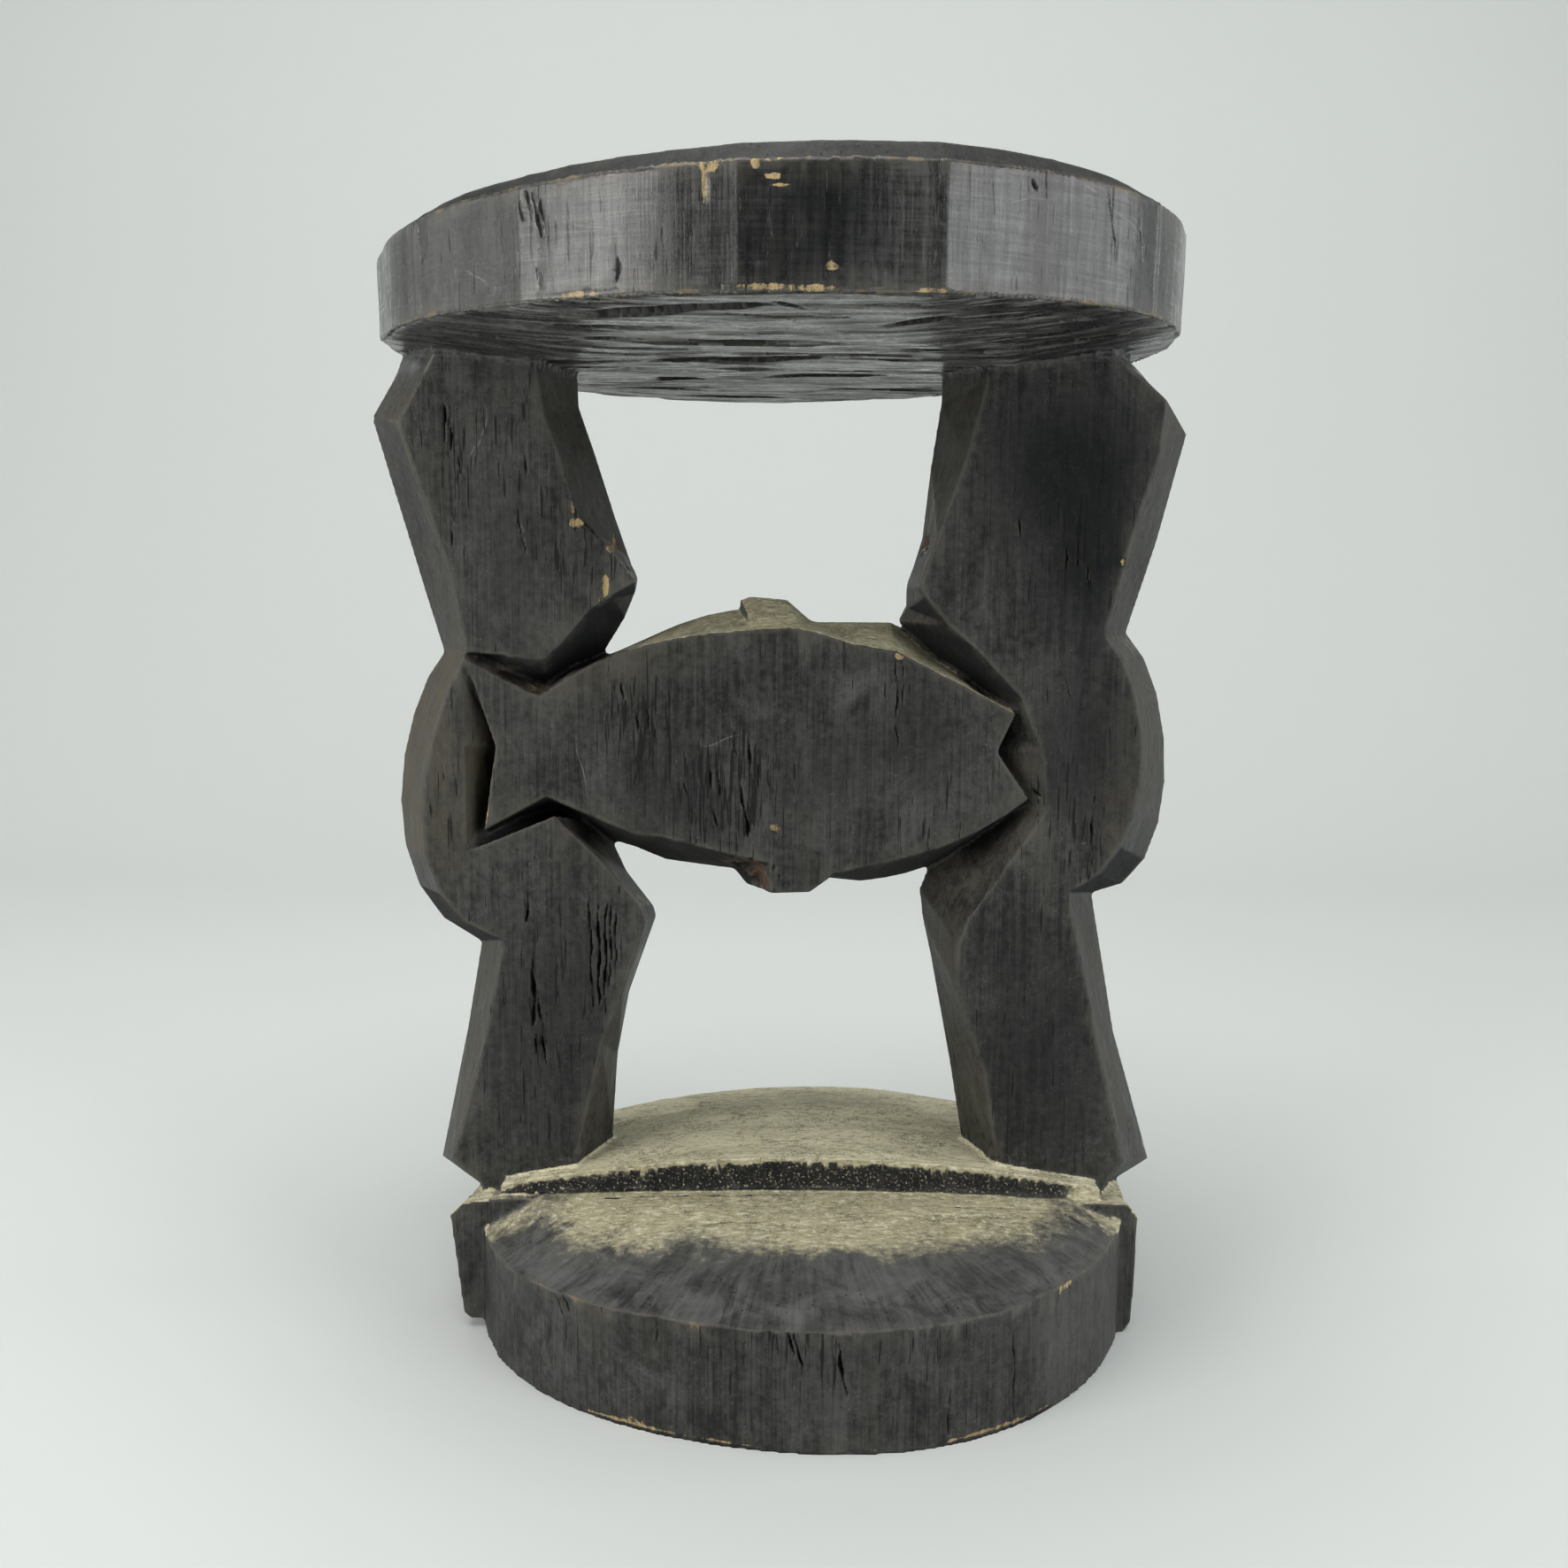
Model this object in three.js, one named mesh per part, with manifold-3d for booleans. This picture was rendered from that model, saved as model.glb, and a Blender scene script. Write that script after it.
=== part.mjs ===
import * as THREE from 'three';
import { mergeVertices } from 'three/addons/utils/BufferGeometryUtils.js';
import Module from 'manifold-3d';

// A round seat on two carved uprights that hold a fish between them, on a round foot, all cut from one log.
// Millimetres. X runs along the fish, Y from front to back, Z up, and the foot rests on z = 0.

// Driving sizes
const seatRadius = 150;
const seatCentre = { x: -7, y: 5 };
const seatCorners = [
  [-78, 151], [-55, 150.5], [-33, 150], [-5.5, 150], [17.5, 150.5], [34, 151], [53.6, 149.5], [74, 145],
  [97, 143.5], [120, 147], [143, 148], [166, 152], [189, 152.5], [212, 147.5], [235, 149], [258, 151.5],
];
const seatUnderside = { middle: 366, lean: 2, bow: 3.5 };
const seatBelly = 5;
const seatBellyReach = 0.62;
const seatFaceTop = { middle: 404, lean: 4.5, bow: -2.5 };
const seatTop = { middle: 410.7, lean: 5, bow: -6 };
const seatTopInset = 6;
const seatTopInsetLean = 2.5;
const seatEdgeWear = 1.5;
const seatHollowRadius = 70;
const seatHollowFloor = 405;

const footRadius = 129.2;
const footWaver = 4.2;
const footWaverLobes = 3.3;
const footWaverTurn = 7.2;
const footFlatLeft = 3;
const footCorners = 48;
const footRim = 41;
const footRimRiseRight = 2.5;
const footRimRiseFront = 2.2;
const footShoulder = 56;
const footShoulderFall = 4;
const footDomeRings = 5;
const footFallCurve = 1.4;

const barHalfDepth = 42;
const ridgeHalfLength = 114;
const ridgeHalfDepth = 38;
const ridgeTop = 67.5;
const ridgeEnd = 56;
const ridgeBackDrop = 4;
const ridgeBottom = 30;
const ridgePlan = [[-116, -38], [116, -38], [116, 6], [66, 20], [46, 32], [-46, 32], [-70, 22], [-116, 6]];
const ridgeSteps = 12;

const slabHalfDepth = 30;
const intoSeat = 376;
const intoFoot = 30;
const curveSteps = 8;

// Shapes: every solid is made as a closed mesh and joined at the end
const wasm = await Module();
wasm.setup();

function solidFrom(geometry) {
  const bare = geometry.clone();
  bare.deleteAttribute('normal');
  bare.deleteAttribute('uv');
  const merged = mergeVertices(bare, 1e-4);
  return new wasm.Manifold(new wasm.Mesh({
    numProp: 3,
    vertProperties: new Float32Array(merged.attributes.position.array),
    triVerts: new Uint32Array(merged.index.array),
  }));
}

function geometryFrom(solid) {
  const mesh = solid.getMesh();
  const geometry = new THREE.BufferGeometry();
  geometry.setAttribute('position', new THREE.BufferAttribute(new Float32Array(mesh.vertProperties), 3));
  geometry.setIndex(new THREE.BufferAttribute(new Uint32Array(mesh.triVerts), 1));
  geometry.computeVertexNormals();
  return geometry;
}

// Skins a stack of closed rings, all with the same number of points, and closes both ends.
// Each end is filled from its flat outline, which `flatten` gives as 2-D points that turn anticlockwise
// when seen from beyond the last ring.
function skin(rings, flatten) {
  const count = rings[0].length;
  const positions = rings.flat().flatMap((p) => [p.x, p.y, p.z]);
  const faces = [];
  for (let r = 0; r + 1 < rings.length; r += 1) {
    for (let i = 0; i < count; i += 1) {
      const j = (i + 1) % count;
      const a = r * count + i;
      const b = r * count + j;
      const c = (r + 1) * count + j;
      const d = (r + 1) * count + i;
      faces.push(a, b, c, a, c, d);
    }
  }
  const first = THREE.ShapeUtils.triangulateShape(flatten(rings[0]), []);
  const last = THREE.ShapeUtils.triangulateShape(flatten(rings.at(-1)), []);
  const offset = (rings.length - 1) * count;
  first.forEach(([a, b, c]) => faces.push(a, c, b));
  last.forEach(([a, b, c]) => faces.push(offset + a, offset + b, offset + c));
  const geometry = new THREE.BufferGeometry();
  geometry.setAttribute('position', new THREE.Float32BufferAttribute(positions, 3));
  geometry.setIndex(faces);
  return geometry;
}

// One carved member of the slab. Each corner is given on the front face and on the ridge half way
// through, as [x, z], and on the back where that differs from the front. A curved corner is a curve
// through two handles to its last point.
function member(corners, halfDepth = slabHalfDepth) {
  const trace = (side) => {
    const path = new THREE.Path();
    corners.forEach((place, i) => {
      const points = place[side];
      if (i === 0) path.moveTo(...points);
      else if (place.curved) path.bezierCurveTo(...points.flat());
      else path.lineTo(...points);
    });
    return path.getPoints(curveSteps);
  };
  const sides = { front: -halfDepth, ridge: 0, back: halfDepth };
  const rings = Object.entries(sides).map(([side, y]) => {
    const outline = trace(side);
    if (THREE.ShapeUtils.area(outline) > 0) outline.reverse();
    return outline.map((p) => new THREE.Vector3(p.x, y, p.y));
  });
  return solidFrom(skin(rings, (points) => points.map((p) => new THREE.Vector2(p.z, p.x))));
}

const fromAbove = (points) => points.map((p) => new THREE.Vector2(p.x, p.y));

function corner(front, ridge, back = front) {
  return { front, ridge, back };
}

function bend(front, ridge, back = front) {
  return { front, ridge, back, curved: true };
}

// The upper left arm, down the outside, along the chin over the fish's tail and up the inside
function upperLeftArm() {
  return member([
    corner([-128.5, intoSeat], [-145.7, intoSeat]),
    corner([-148, 339.5], [-164.4, 345]),
    corner([-147, 336], [-164.4, 342]),
    corner([-131, 288], [-148.6, 287]),
    corner([-125, 257], [-139.3, 255]),
    corner([-110, 256], [-112, 238]),
    corner([-96.5, 254.5], [-98, 238]),
    corner([-90, 260.5], [-78, 254.5]),
    corner([-79.5, 273], [-69.2, 269]),
    corner([-71.5, 278], [-65, 279]),
    corner([-62, 283.5], [-64, 284.5], [-69, 284]),
    corner([-73.5, 297.5], [-67.2, 292], [-76, 296]),
    corner([-83.5, 308], [-72, 306]),
    corner([-91, 333], [-80, 331]),
    corner([-95, 343], [-86, 348.5]),
    corner([-100, intoSeat], [-87, intoSeat]),
  ]);
}

// The left hump and lower leg: behind the tail its face slopes in to the groove round the fish
function lowerLeftLeg() {
  return member([
    corner([-125.6, 256], [-139.3, 256]),
    bend([[-143, 228], [-158, 160], [-113.3, 148.8]], [[-158, 236], [-174, 159], [-127.2, 141]]),
    corner([-121.5, 106], [-133.4, 106]),
    corner([-134.5, 62], [-144.8, 52]),
    corner([-121, 50.8], [-130, 41.5]),
    corner([-118, intoFoot], [-118, intoFoot]),
    corner([-92, intoFoot], [-84, intoFoot]),
    corner([-85.5, 66], [-75.2, 62]),
    corner([-76, 109], [-73, 96]),
    corner([-67.7, 129], [-68.4, 121], [-72, 126]),
    corner([-59, 156], [-57.5, 152], [-64, 148]),
    corner([-61, 161], [-58.5, 156], [-66, 152]),
    corner([-75, 179], [-69, 170], [-80, 170]),
    corner([-93.4, 196.8], [-78, 190]),
    corner([-126.3, 183.2], [-108, 212]),
    corner([-126.6, 222], [-97, 224]),
    corner([-126.4, 252], [-108, 248]),
  ]);
}

// The right upright in one run: outside from seat to foot, then up the inside round the fish's head
function rightUpright() {
  return member([
    corner([99.5, intoSeat], [111, intoSeat]),
    corner([129.5, 349.5], [136.4, 353]),
    corner([128, 330], [144.5, 340]),
    corner([119.6, 303], [134.9, 300.5]),
    corner([110.3, 265.5], [124.3, 265]),
    bend([[132, 244], [133, 182], [100, 168.6]], [[146, 247], [152, 163], [114.4, 162.6]]),
    corner([112.5, 112], [125, 106.5]),
    corner([124.3, 63], [141, 53.3]),
    corner([115, 50.7], [123.5, 41.5]),
    corner([108, intoFoot], [112, intoFoot]),
    corner([88, intoFoot], [80, intoFoot]),
    corner([75.5, 63], [65.2, 60]),
    corner([69.7, 98], [59.3, 95]),
    corner([59, 128], [51.3, 136]),
    corner([58.8, 147.5], [47.5, 153]),
    corner([62.5, 158], [46.2, 163.6]),
    corner([73.5, 173], [49, 171.3]),
    corner([91, 200.5], [64, 196]),
    corner([88.5, 222], [50, 222]),
    corner([80.7, 241.4], [60, 236]),
    corner([64, 258.8], [46, 256]),
    corner([52.5, 268.5], [36, 269]),
    corner([43.5, 279], [39, 273.5]),
    corner([41.5, 283], [39, 281]),
    corner([47.6, 300], [44.6, 300]),
    corner([57.3, 328], [47.5, 328]),
    corner([64.3, 355], [50.8, 351]),
    corner([66, intoSeat], [50.8, intoSeat]),
  ]);
}

// The fish: forked tail on the left, open mouth on the right, widest half way through the slab
function fishBody() {
  return member([
    corner([-126, 255], [-122, 258]),
    corner([-99, 241], [-98, 247]),
    corner([-87, 249], [-87, 252]),
    bend([[-62, 264], [-30, 267], [1.5, 266.6]], [[-66, 256], [-48, 273], [-18, 273.5]]),
    corner([18.5, 261.5], [4.6, 268.5]),
    corner([33.5, 259], [33.4, 268.5]),
    corner([60.7, 245.5], [56, 252]),
    corner([78.5, 236], [76, 238]),
    corner([72, 221.7], [70, 221.7]),
    corner([84, 204], [81, 201]),
    bend([[62, 187], [44, 182], [9.6, 175]], [[62, 176], [49, 169.5], [23, 166.5]]),
    corner([-15, 179.5], [-26, 171]),
    corner([-52.3, 188.6], [-53.8, 174.5]),
    corner([-63.3, 189.6], [-66.2, 179.5]),
    corner([-76, 195], [-74.4, 182]),
    corner([-96, 203.5], [-96, 196]),
    corner([-120, 190.3], [-119, 187]),
    corner([-115, 222], [-113, 222]),
  ]);
}

// The back fin slopes from the fish's upper edge to its ridge, and the belly fin is broken on its left side
function backFin() {
  return member([
    corner([-19, 262], [-25, 262]),
    corner([-19, 266.5], [-25, 276.5]),
    corner([-8, 267], [-21, 278]),
    corner([-2, 267], [-7, 277]),
    corner([3, 265], [3.5, 268]),
    corner([3, 258], [3.5, 258]),
  ]);
}

function bellyFin() {
  return member([
    corner([-12.3, 184], [-27, 184]),
    corner([14, 184], [16, 184]),
    corner([10, 173.5], [9, 168]),
    corner([2.5, 168], [2, 164.5]),
    corner([-12, 167.5], [-12, 163.5]),
    corner([-12.3, 175], [-22, 165]),
    corner([-12.3, 178], [-27, 171]),
  ], slabHalfDepth + 0.4);
}

// Seat: flats between hewn corners, a belly below and a shallow hollow above. The hewn edges lean and
// bow a little from side to side.
function edgeHeight({ middle, lean, bow }, side) {
  return middle + lean * side + bow * side * side;
}

function seat() {
  const ring = (share, inset, height) => seatCorners.map(([degrees, radius]) => {
    const turn = THREE.MathUtils.degToRad(degrees);
    const reach = radius * share - inset(Math.sin(turn));
    const x = seatCentre.x + reach * Math.sin(turn);
    const y = seatCentre.y - reach * Math.cos(turn);
    return new THREE.Vector3(x, y, height(x / seatRadius));
  });
  const none = () => 0;
  const belly = () => seatUnderside.middle - seatBelly;
  const rings = [
    ring(seatBellyReach / 2, none, belly),
    ring(seatBellyReach, none, belly),
    ring(1, () => seatEdgeWear, (side) => edgeHeight(seatUnderside, side)),
    ring(1, none, (side) => edgeHeight(seatUnderside, side) + seatEdgeWear),
    ring(1, none, (side) => edgeHeight(seatFaceTop, side)),
    ring(1, (side) => seatTopInset + seatTopInsetLean * side, (side) => edgeHeight(seatTop, side)),
    ring(seatHollowRadius / seatRadius, none, () => seatHollowFloor),
  ];
  return solidFrom(skin(rings, fromAbove));
}

// Foot: a disc whose front outline wavers as the adze left it, domed from its rim to the step
function footDisc() {
  const phase = THREE.MathUtils.degToRad(footWaverTurn);
  const outline = (turn) => {
    const waver = Math.sin(footWaverLobes * (turn - phase)) * Math.max(0, Math.cos(turn)) ** 2;
    const flat = Math.max(0, -Math.sin(turn)) ** 6;
    return footRadius + footWaver * waver - footFlatLeft * flat;
  };
  const rim = (x, y) => footRim + (footRimRiseRight * x - footRimRiseFront * y) / footRadius;
  const dome = (x, y, edge) => {
    const shoulder = footShoulder - footShoulderFall * (x / footRadius) ** 2;
    const rimDepth = Math.sqrt(Math.max(footRadius ** 2 - x ** 2, (barHalfDepth + 2) ** 2));
    const fall = (Math.abs(y) - ridgeHalfDepth) / (rimDepth - ridgeHalfDepth);
    return THREE.MathUtils.lerp(shoulder, edge, THREE.MathUtils.clamp(fall, 0, 1) ** footFallCurve);
  };
  const ring = (reach, height) => Array.from({ length: footCorners }, (_, i) => {
    const turn = (i / footCorners - 0.5) * Math.PI * 2;
    const x = outline(turn) * Math.sin(turn);
    const y = -outline(turn) * Math.cos(turn);
    return new THREE.Vector3(x * reach, y * reach, height(x, y));
  });
  const rings = [ring(1, () => 0), ring(1, rim)];
  for (let step = 1; step <= footDomeRings; step += 1) {
    const reach = 1 - step / (footDomeRings + 1);
    rings.push(ring(reach, (x, y) => dome(x * reach, y * reach, rim(x, y))));
  }
  return solidFrom(skin(rings, fromAbove));
}

// The ends of the slab stand out past the disc as two square tabs
function footBar() {
  return member([
    corner([-112, 52], [-112, 48]),
    corner([-128, 50], [-122, 42.5]),
    corner([-133.2, 45], [-130, 40]),
    corner([-128.5, 6], [-128.5, 6]),
    corner([-126, 3.5], [-126, 3.5]),
    corner([-100, 3.5], [-100, 3.5]),
    corner([-98, 0], [-98, 0]),
    corner([124, 0], [124, 0]),
    corner([127, 4], [127, 4]),
    corner([128.3, 46.3], [126, 40]),
    corner([124, 51.5], [120, 42]),
    corner([112, 52], [112, 48]),
  ], barHalfDepth);
}

// The low ridge that carries both feet: highest in the middle, a straight step in front, cut off at the
// back corners
function footRidge() {
  const top = (x) => ridgeTop - (ridgeTop - ridgeEnd) * (x / ridgeHalfLength) ** 2;
  const ends = [-ridgeHalfLength, ridgeHalfLength];
  const corners = [corner([ends[0], ridgeBottom], [ends[0], ridgeBottom])];
  for (let step = 0; step <= ridgeSteps; step += 1) {
    const x = ridgeHalfLength * ((2 * step) / ridgeSteps - 1);
    corners.push(corner([x, top(x)], [x, top(x) - ridgeBackDrop / 2], [x, top(x) - ridgeBackDrop]));
  }
  corners.push(corner([ends[1], ridgeBottom], [ends[1], ridgeBottom]));
  const level = (z) => ridgePlan.map(([x, y]) => new THREE.Vector3(x, y, z));
  const trim = skin([level(0), level(intoSeat)], fromAbove);
  return member(corners, ridgeHalfDepth + 1).intersect(solidFrom(trim));
}

const wood = new THREE.MeshStandardMaterial({ color: 0x3a3a3a, roughness: 0.62, metalness: 0 });

const carving = [
  seat,
  upperLeftArm,
  lowerLeftLeg,
  rightUpright,
  fishBody,
  backFin,
  bellyFin,
  footDisc,
  footBar,
  footRidge,
].map((shape) => shape()).reduce((whole, piece) => whole.add(piece));

const stool = new THREE.Mesh(geometryFrom(carving), wood);
stool.name = 'carved_stool';

const part = new THREE.Group();
part.name = 'carved_wooden_stool';
part.add(stool);

export default part;
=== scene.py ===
import math
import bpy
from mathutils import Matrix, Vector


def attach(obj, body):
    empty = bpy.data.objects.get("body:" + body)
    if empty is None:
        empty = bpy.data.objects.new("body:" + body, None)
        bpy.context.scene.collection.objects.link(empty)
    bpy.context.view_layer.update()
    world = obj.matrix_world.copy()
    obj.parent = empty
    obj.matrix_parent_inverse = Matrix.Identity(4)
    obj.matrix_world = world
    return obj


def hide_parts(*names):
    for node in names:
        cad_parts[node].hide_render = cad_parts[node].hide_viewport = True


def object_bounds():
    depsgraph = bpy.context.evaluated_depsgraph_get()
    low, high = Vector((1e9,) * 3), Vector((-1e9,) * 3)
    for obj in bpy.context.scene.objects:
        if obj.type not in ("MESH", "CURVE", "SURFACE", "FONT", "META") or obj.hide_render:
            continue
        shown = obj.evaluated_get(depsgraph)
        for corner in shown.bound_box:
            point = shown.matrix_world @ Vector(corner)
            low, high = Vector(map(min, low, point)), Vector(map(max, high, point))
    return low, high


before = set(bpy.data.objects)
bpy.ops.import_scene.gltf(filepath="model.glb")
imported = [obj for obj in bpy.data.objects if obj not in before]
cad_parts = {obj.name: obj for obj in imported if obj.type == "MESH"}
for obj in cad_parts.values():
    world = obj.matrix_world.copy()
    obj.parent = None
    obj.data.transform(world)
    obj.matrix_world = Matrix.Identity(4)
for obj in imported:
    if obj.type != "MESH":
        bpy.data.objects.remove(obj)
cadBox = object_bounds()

from types import SimpleNamespace

import bpy
import numpy as np
from mathutils import Matrix, Vector


def deselectAll():
    if bpy.context.object and bpy.context.object.mode != "OBJECT":
        bpy.ops.object.mode_set(mode="OBJECT")
    bpy.ops.object.select_all(action="DESELECT")


def pick(piece):
    deselectAll()
    piece.select_set(True)
    bpy.context.view_layer.objects.active = piece


def applyAll(piece):
    pick(piece)
    for modifier in list(piece.modifiers):
        bpy.ops.object.modifier_apply(modifier=modifier.name)


# camera, at the photograph's place
view = {
    "place": (-0.00735, -0.60735, 0.28875),
    "yaw": 0.01, "pitchDown": 7.85, "roll": -0.43,   # degrees
    "lens": 35.96, "sensor": 36.0,
}


def placeCamera():
    turn = (Matrix.Rotation(math.radians(view["yaw"]), 3, "Z")
            @ Matrix.Rotation(math.radians(-view["pitchDown"]), 3, "X")
            @ Matrix.Rotation(math.radians(view["roll"]), 3, "Y")
            @ Matrix.Rotation(math.radians(90), 3, "X"))
    bpy.ops.object.camera_add(location=view["place"], rotation=turn.to_euler())
    camera = bpy.context.object
    camera.name = "photoCamera"
    camera.data.lens = view["lens"]
    camera.data.sensor_width = view["sensor"]
    camera.data.clip_start = 0.02
    bpy.context.scene.camera = camera


placeCamera()
print("camera placed")


# plain pale floor that rises into a backdrop, and soft panels
studio = {
    "halfWidth": 3.2, "front": -3.0, "back": 1.7, "rise": 2.6, "bend": 0.9,
    "paper": (0.68, 0.705, 0.688), "paperRough": 0.75,
    "ambient": (0.93, 0.97, 1.0), "ambientStrength": 0.10, "roomSeen": 0.70,
    "panels": [   # place, point aimed at, size, watts, colour
        {"name": "leftPanel", "place": (-1.55, -1.25, 0.80), "aim": (0, 0, 0.2), "size": (1.2, 1.3),
         "watts": 25, "tint": (1.0, 0.99, 0.96)},
        {"name": "leftSidePanel", "place": (-2.0, 0.1, 0.8), "aim": (0, 0, 0.3), "size": (1.3, 1.3),
         "watts": 6, "tint": (1.0, 1.0, 0.98)},
        {"name": "rightPanel", "place": (1.60, -1.20, 0.75), "aim": (0, 0, 0.2), "size": (1.0, 1.3),
         "watts": 15, "tint": (0.97, 0.99, 1.0)},
        {"name": "rightSidePanel", "place": (2.0, 0.0, 0.8), "aim": (0, 0, 0.3), "size": (1.3, 1.3),
         "watts": 12, "tint": (0.97, 0.99, 1.0)},
        {"name": "topPanel", "place": (-0.10, -0.35, 1.9), "aim": (0, -0.25, 0.0), "size": (1.8, 1.4),
         "watts": 23, "tint": (1.0, 1.0, 0.98)},
        {"name": "backdropPanel", "place": (0, 0.55, 2.3), "aim": (0, 1.7, 1.1), "size": (4.6, 0.5),
         "watts": 8, "tint": (0.97, 1.0, 1.0)},
    ],
}


def buildStage():
    deselectAll()
    bpy.ops.mesh.primitive_plane_add(size=1, location=(0, (studio["front"] + studio["back"]) / 2, 0))
    floor = bpy.context.object
    floor.name = "floorAndBackdrop"
    floor.scale = (2 * studio["halfWidth"], studio["back"] - studio["front"], 1)
    bpy.ops.object.transform_apply(location=True, rotation=True, scale=True)
    bpy.ops.object.mode_set(mode="EDIT")
    bpy.ops.mesh.select_all(action="DESELECT")
    bpy.ops.object.mode_set(mode="OBJECT")
    for edge in floor.data.edges:
        edge.select = all(floor.data.vertices[i].co.y > studio["back"] - 0.01 for i in edge.vertices)
    bpy.ops.object.mode_set(mode="EDIT")
    bpy.context.tool_settings.mesh_select_mode = (False, True, False)
    bpy.ops.mesh.extrude_region_move(TRANSFORM_OT_translate={"value": (0, 0, studio["rise"])})
    bpy.ops.object.mode_set(mode="OBJECT")
    bend = floor.modifiers.new("bend", "BEVEL")
    bend.width = studio["bend"]
    bend.segments = 24
    bend.limit_method = "ANGLE"
    applyAll(floor)
    bpy.ops.object.shade_smooth()
    paper = bpy.data.materials.new("studioPaper")
    paper.use_nodes = True
    shader = paper.node_tree.nodes["Principled BSDF"]
    shader.inputs["Base Color"].default_value = (*studio["paper"], 1)
    shader.inputs["Roughness"].default_value = studio["paperRough"]
    floor.data.materials.append(paper)

    world = bpy.data.worlds.new("softRoom")
    world.use_nodes = True
    room = world.node_tree.nodes["Background"]
    room.inputs["Color"].default_value = (*studio["ambient"], 1)
    path = world.node_tree.nodes.new("ShaderNodeLightPath")
    # the room is dim, but looks as pale as the paper
    strength = world.node_tree.nodes.new("ShaderNodeMapRange")
    strength.inputs["To Min"].default_value = studio["ambientStrength"]
    strength.inputs["To Max"].default_value = studio["roomSeen"]
    world.node_tree.links.new(path.outputs["Is Camera Ray"], strength.inputs["Value"])
    world.node_tree.links.new(strength.outputs[0], room.inputs["Strength"])
    bpy.context.scene.world = world
    for panel in studio["panels"]:
        place = Vector(panel["place"])
        aim = (Vector(panel["aim"]) - place).to_track_quat("-Z", "Y")
        bpy.ops.object.light_add(type="AREA", location=place, rotation=aim.to_euler())
        light = bpy.context.object
        light.name = panel["name"]
        light.data.shape = "RECTANGLE"
        light.data.size, light.data.size_y = panel["size"]
        light.data.energy = panel["watts"]
        light.data.color = panel["tint"]
    bpy.context.scene.view_settings.view_transform = "Standard"


buildStage()
print("stage and lights placed")


# the stool: one piece of wood, its hewn surface worked on a fine skin of the CAD solid (millimetres)
skin = {
    "voxel": 0.00095,
    "softenSteps": 1, "softenBy": 0.5,
    "mostTriangles": 197000,
    "edgeSteps": 9,
    "restingTo": 0.4,   # below this height the skin is pressed flat on the floor
}
# where the parts of the stool lie
form = {
    "seatCentre": (-7, 5), "seatRadius": 150, "seatFrom": 356, "seatSideFrom": 362, "seatTopFrom": 390,
    "slabFace": 25, "slabReach": 33, "slabHalf": 31, "slabFrom": 45, "slabTo": 366,
    "footRadius": 128, "footTo": 70, "footSideTo": 50, "stepY": -38.5, "wornFrom": 0.6,
}


def softNoise(points, cell, seed):
    # smooth noise from -1 to 1, with its own cell size along each axis
    q = points / np.array(cell, float)
    low = np.floor(q).astype(np.int64)
    f = q - low
    f = f * f * (3 - 2 * f)
    total = np.zeros(len(q))
    for dx in (0, 1):
        for dy in (0, 1):
            for dz in (0, 1):
                h = (low[:, 0] + dx) * 73856093
                h = h ^ ((low[:, 1] + dy) * 19349663)
                h = h ^ ((low[:, 2] + dz) * 83492791)
                h = (h ^ (seed * 668265263)) & 0xFFFFFFFF
                h = ((h ^ (h >> 15)) * 2246822519) & 0xFFFFFFFF
                h = ((h ^ (h >> 13)) * 3266489917) & 0xFFFFFFFF
                value = ((h ^ (h >> 16)) & 0xFFFF) / 32767.5 - 1
                weight = ((f[:, 0] if dx else 1 - f[:, 0]) * (f[:, 1] if dy else 1 - f[:, 1])
                          * (f[:, 2] if dz else 1 - f[:, 2]))
                total += weight * value
    return total


def ramp(value, low, high):
    t = np.clip((value - low) / (high - low), 0, 1)
    return t * t * (3 - 2 * t)


def between(value, low, high):
    return (value > low) & (value < high)


def fromSeatCentre(x, y):
    return x - form["seatCentre"][0], y - form["seatCentre"][1]


def readSkin(piece):
    mesh = piece.data
    points = np.empty(len(mesh.vertices) * 3)
    mesh.vertices.foreach_get("co", points)
    normals = np.empty(len(mesh.vertices) * 3)
    mesh.vertex_normals.foreach_get("vector", normals)
    return points.reshape(-1, 3) * 1000, normals.reshape(-1, 3)


def writeSkin(piece, points):
    low, high = (np.array(corner) * 1000 for corner in cadBox)
    points = np.clip(points, low + 0.02, high - 0.02)
    points[:, 2] = np.where(points[:, 2] < skin["restingTo"], 0, points[:, 2])
    piece.data.vertices.foreach_set("co", (points / 1000).ravel())
    piece.data.update()


def mark(piece, name, values):
    layer = piece.data.attributes.get(name) or piece.data.attributes.new(name, "FLOAT", "POINT")
    layer.data.foreach_set("value", np.ascontiguousarray(values, dtype=np.float32))


def copyOfSolid():
    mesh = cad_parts["carved_stool"].data.copy()
    piece = bpy.data.objects.new("carvedStool", mesh)
    bpy.context.scene.collection.objects.link(piece)
    mesh.materials.clear()
    pick(piece)
    bpy.ops.object.mode_set(mode="EDIT")
    bpy.ops.mesh.select_all(action="SELECT")
    bpy.ops.mesh.remove_doubles(threshold=0.00001)
    bpy.ops.object.mode_set(mode="OBJECT")
    remesh = piece.modifiers.new("skin", "REMESH")
    remesh.mode = "VOXEL"
    remesh.voxel_size = skin["voxel"]
    remesh.adaptivity = 0
    soften = piece.modifiers.new("soften", "SMOOTH")
    soften.factor = skin["softenBy"]
    soften.iterations = skin["softenSteps"]
    applyAll(piece)
    return piece


stool = copyOfSolid()
print("skin made", len(stool.data.polygons), "faces")


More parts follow.
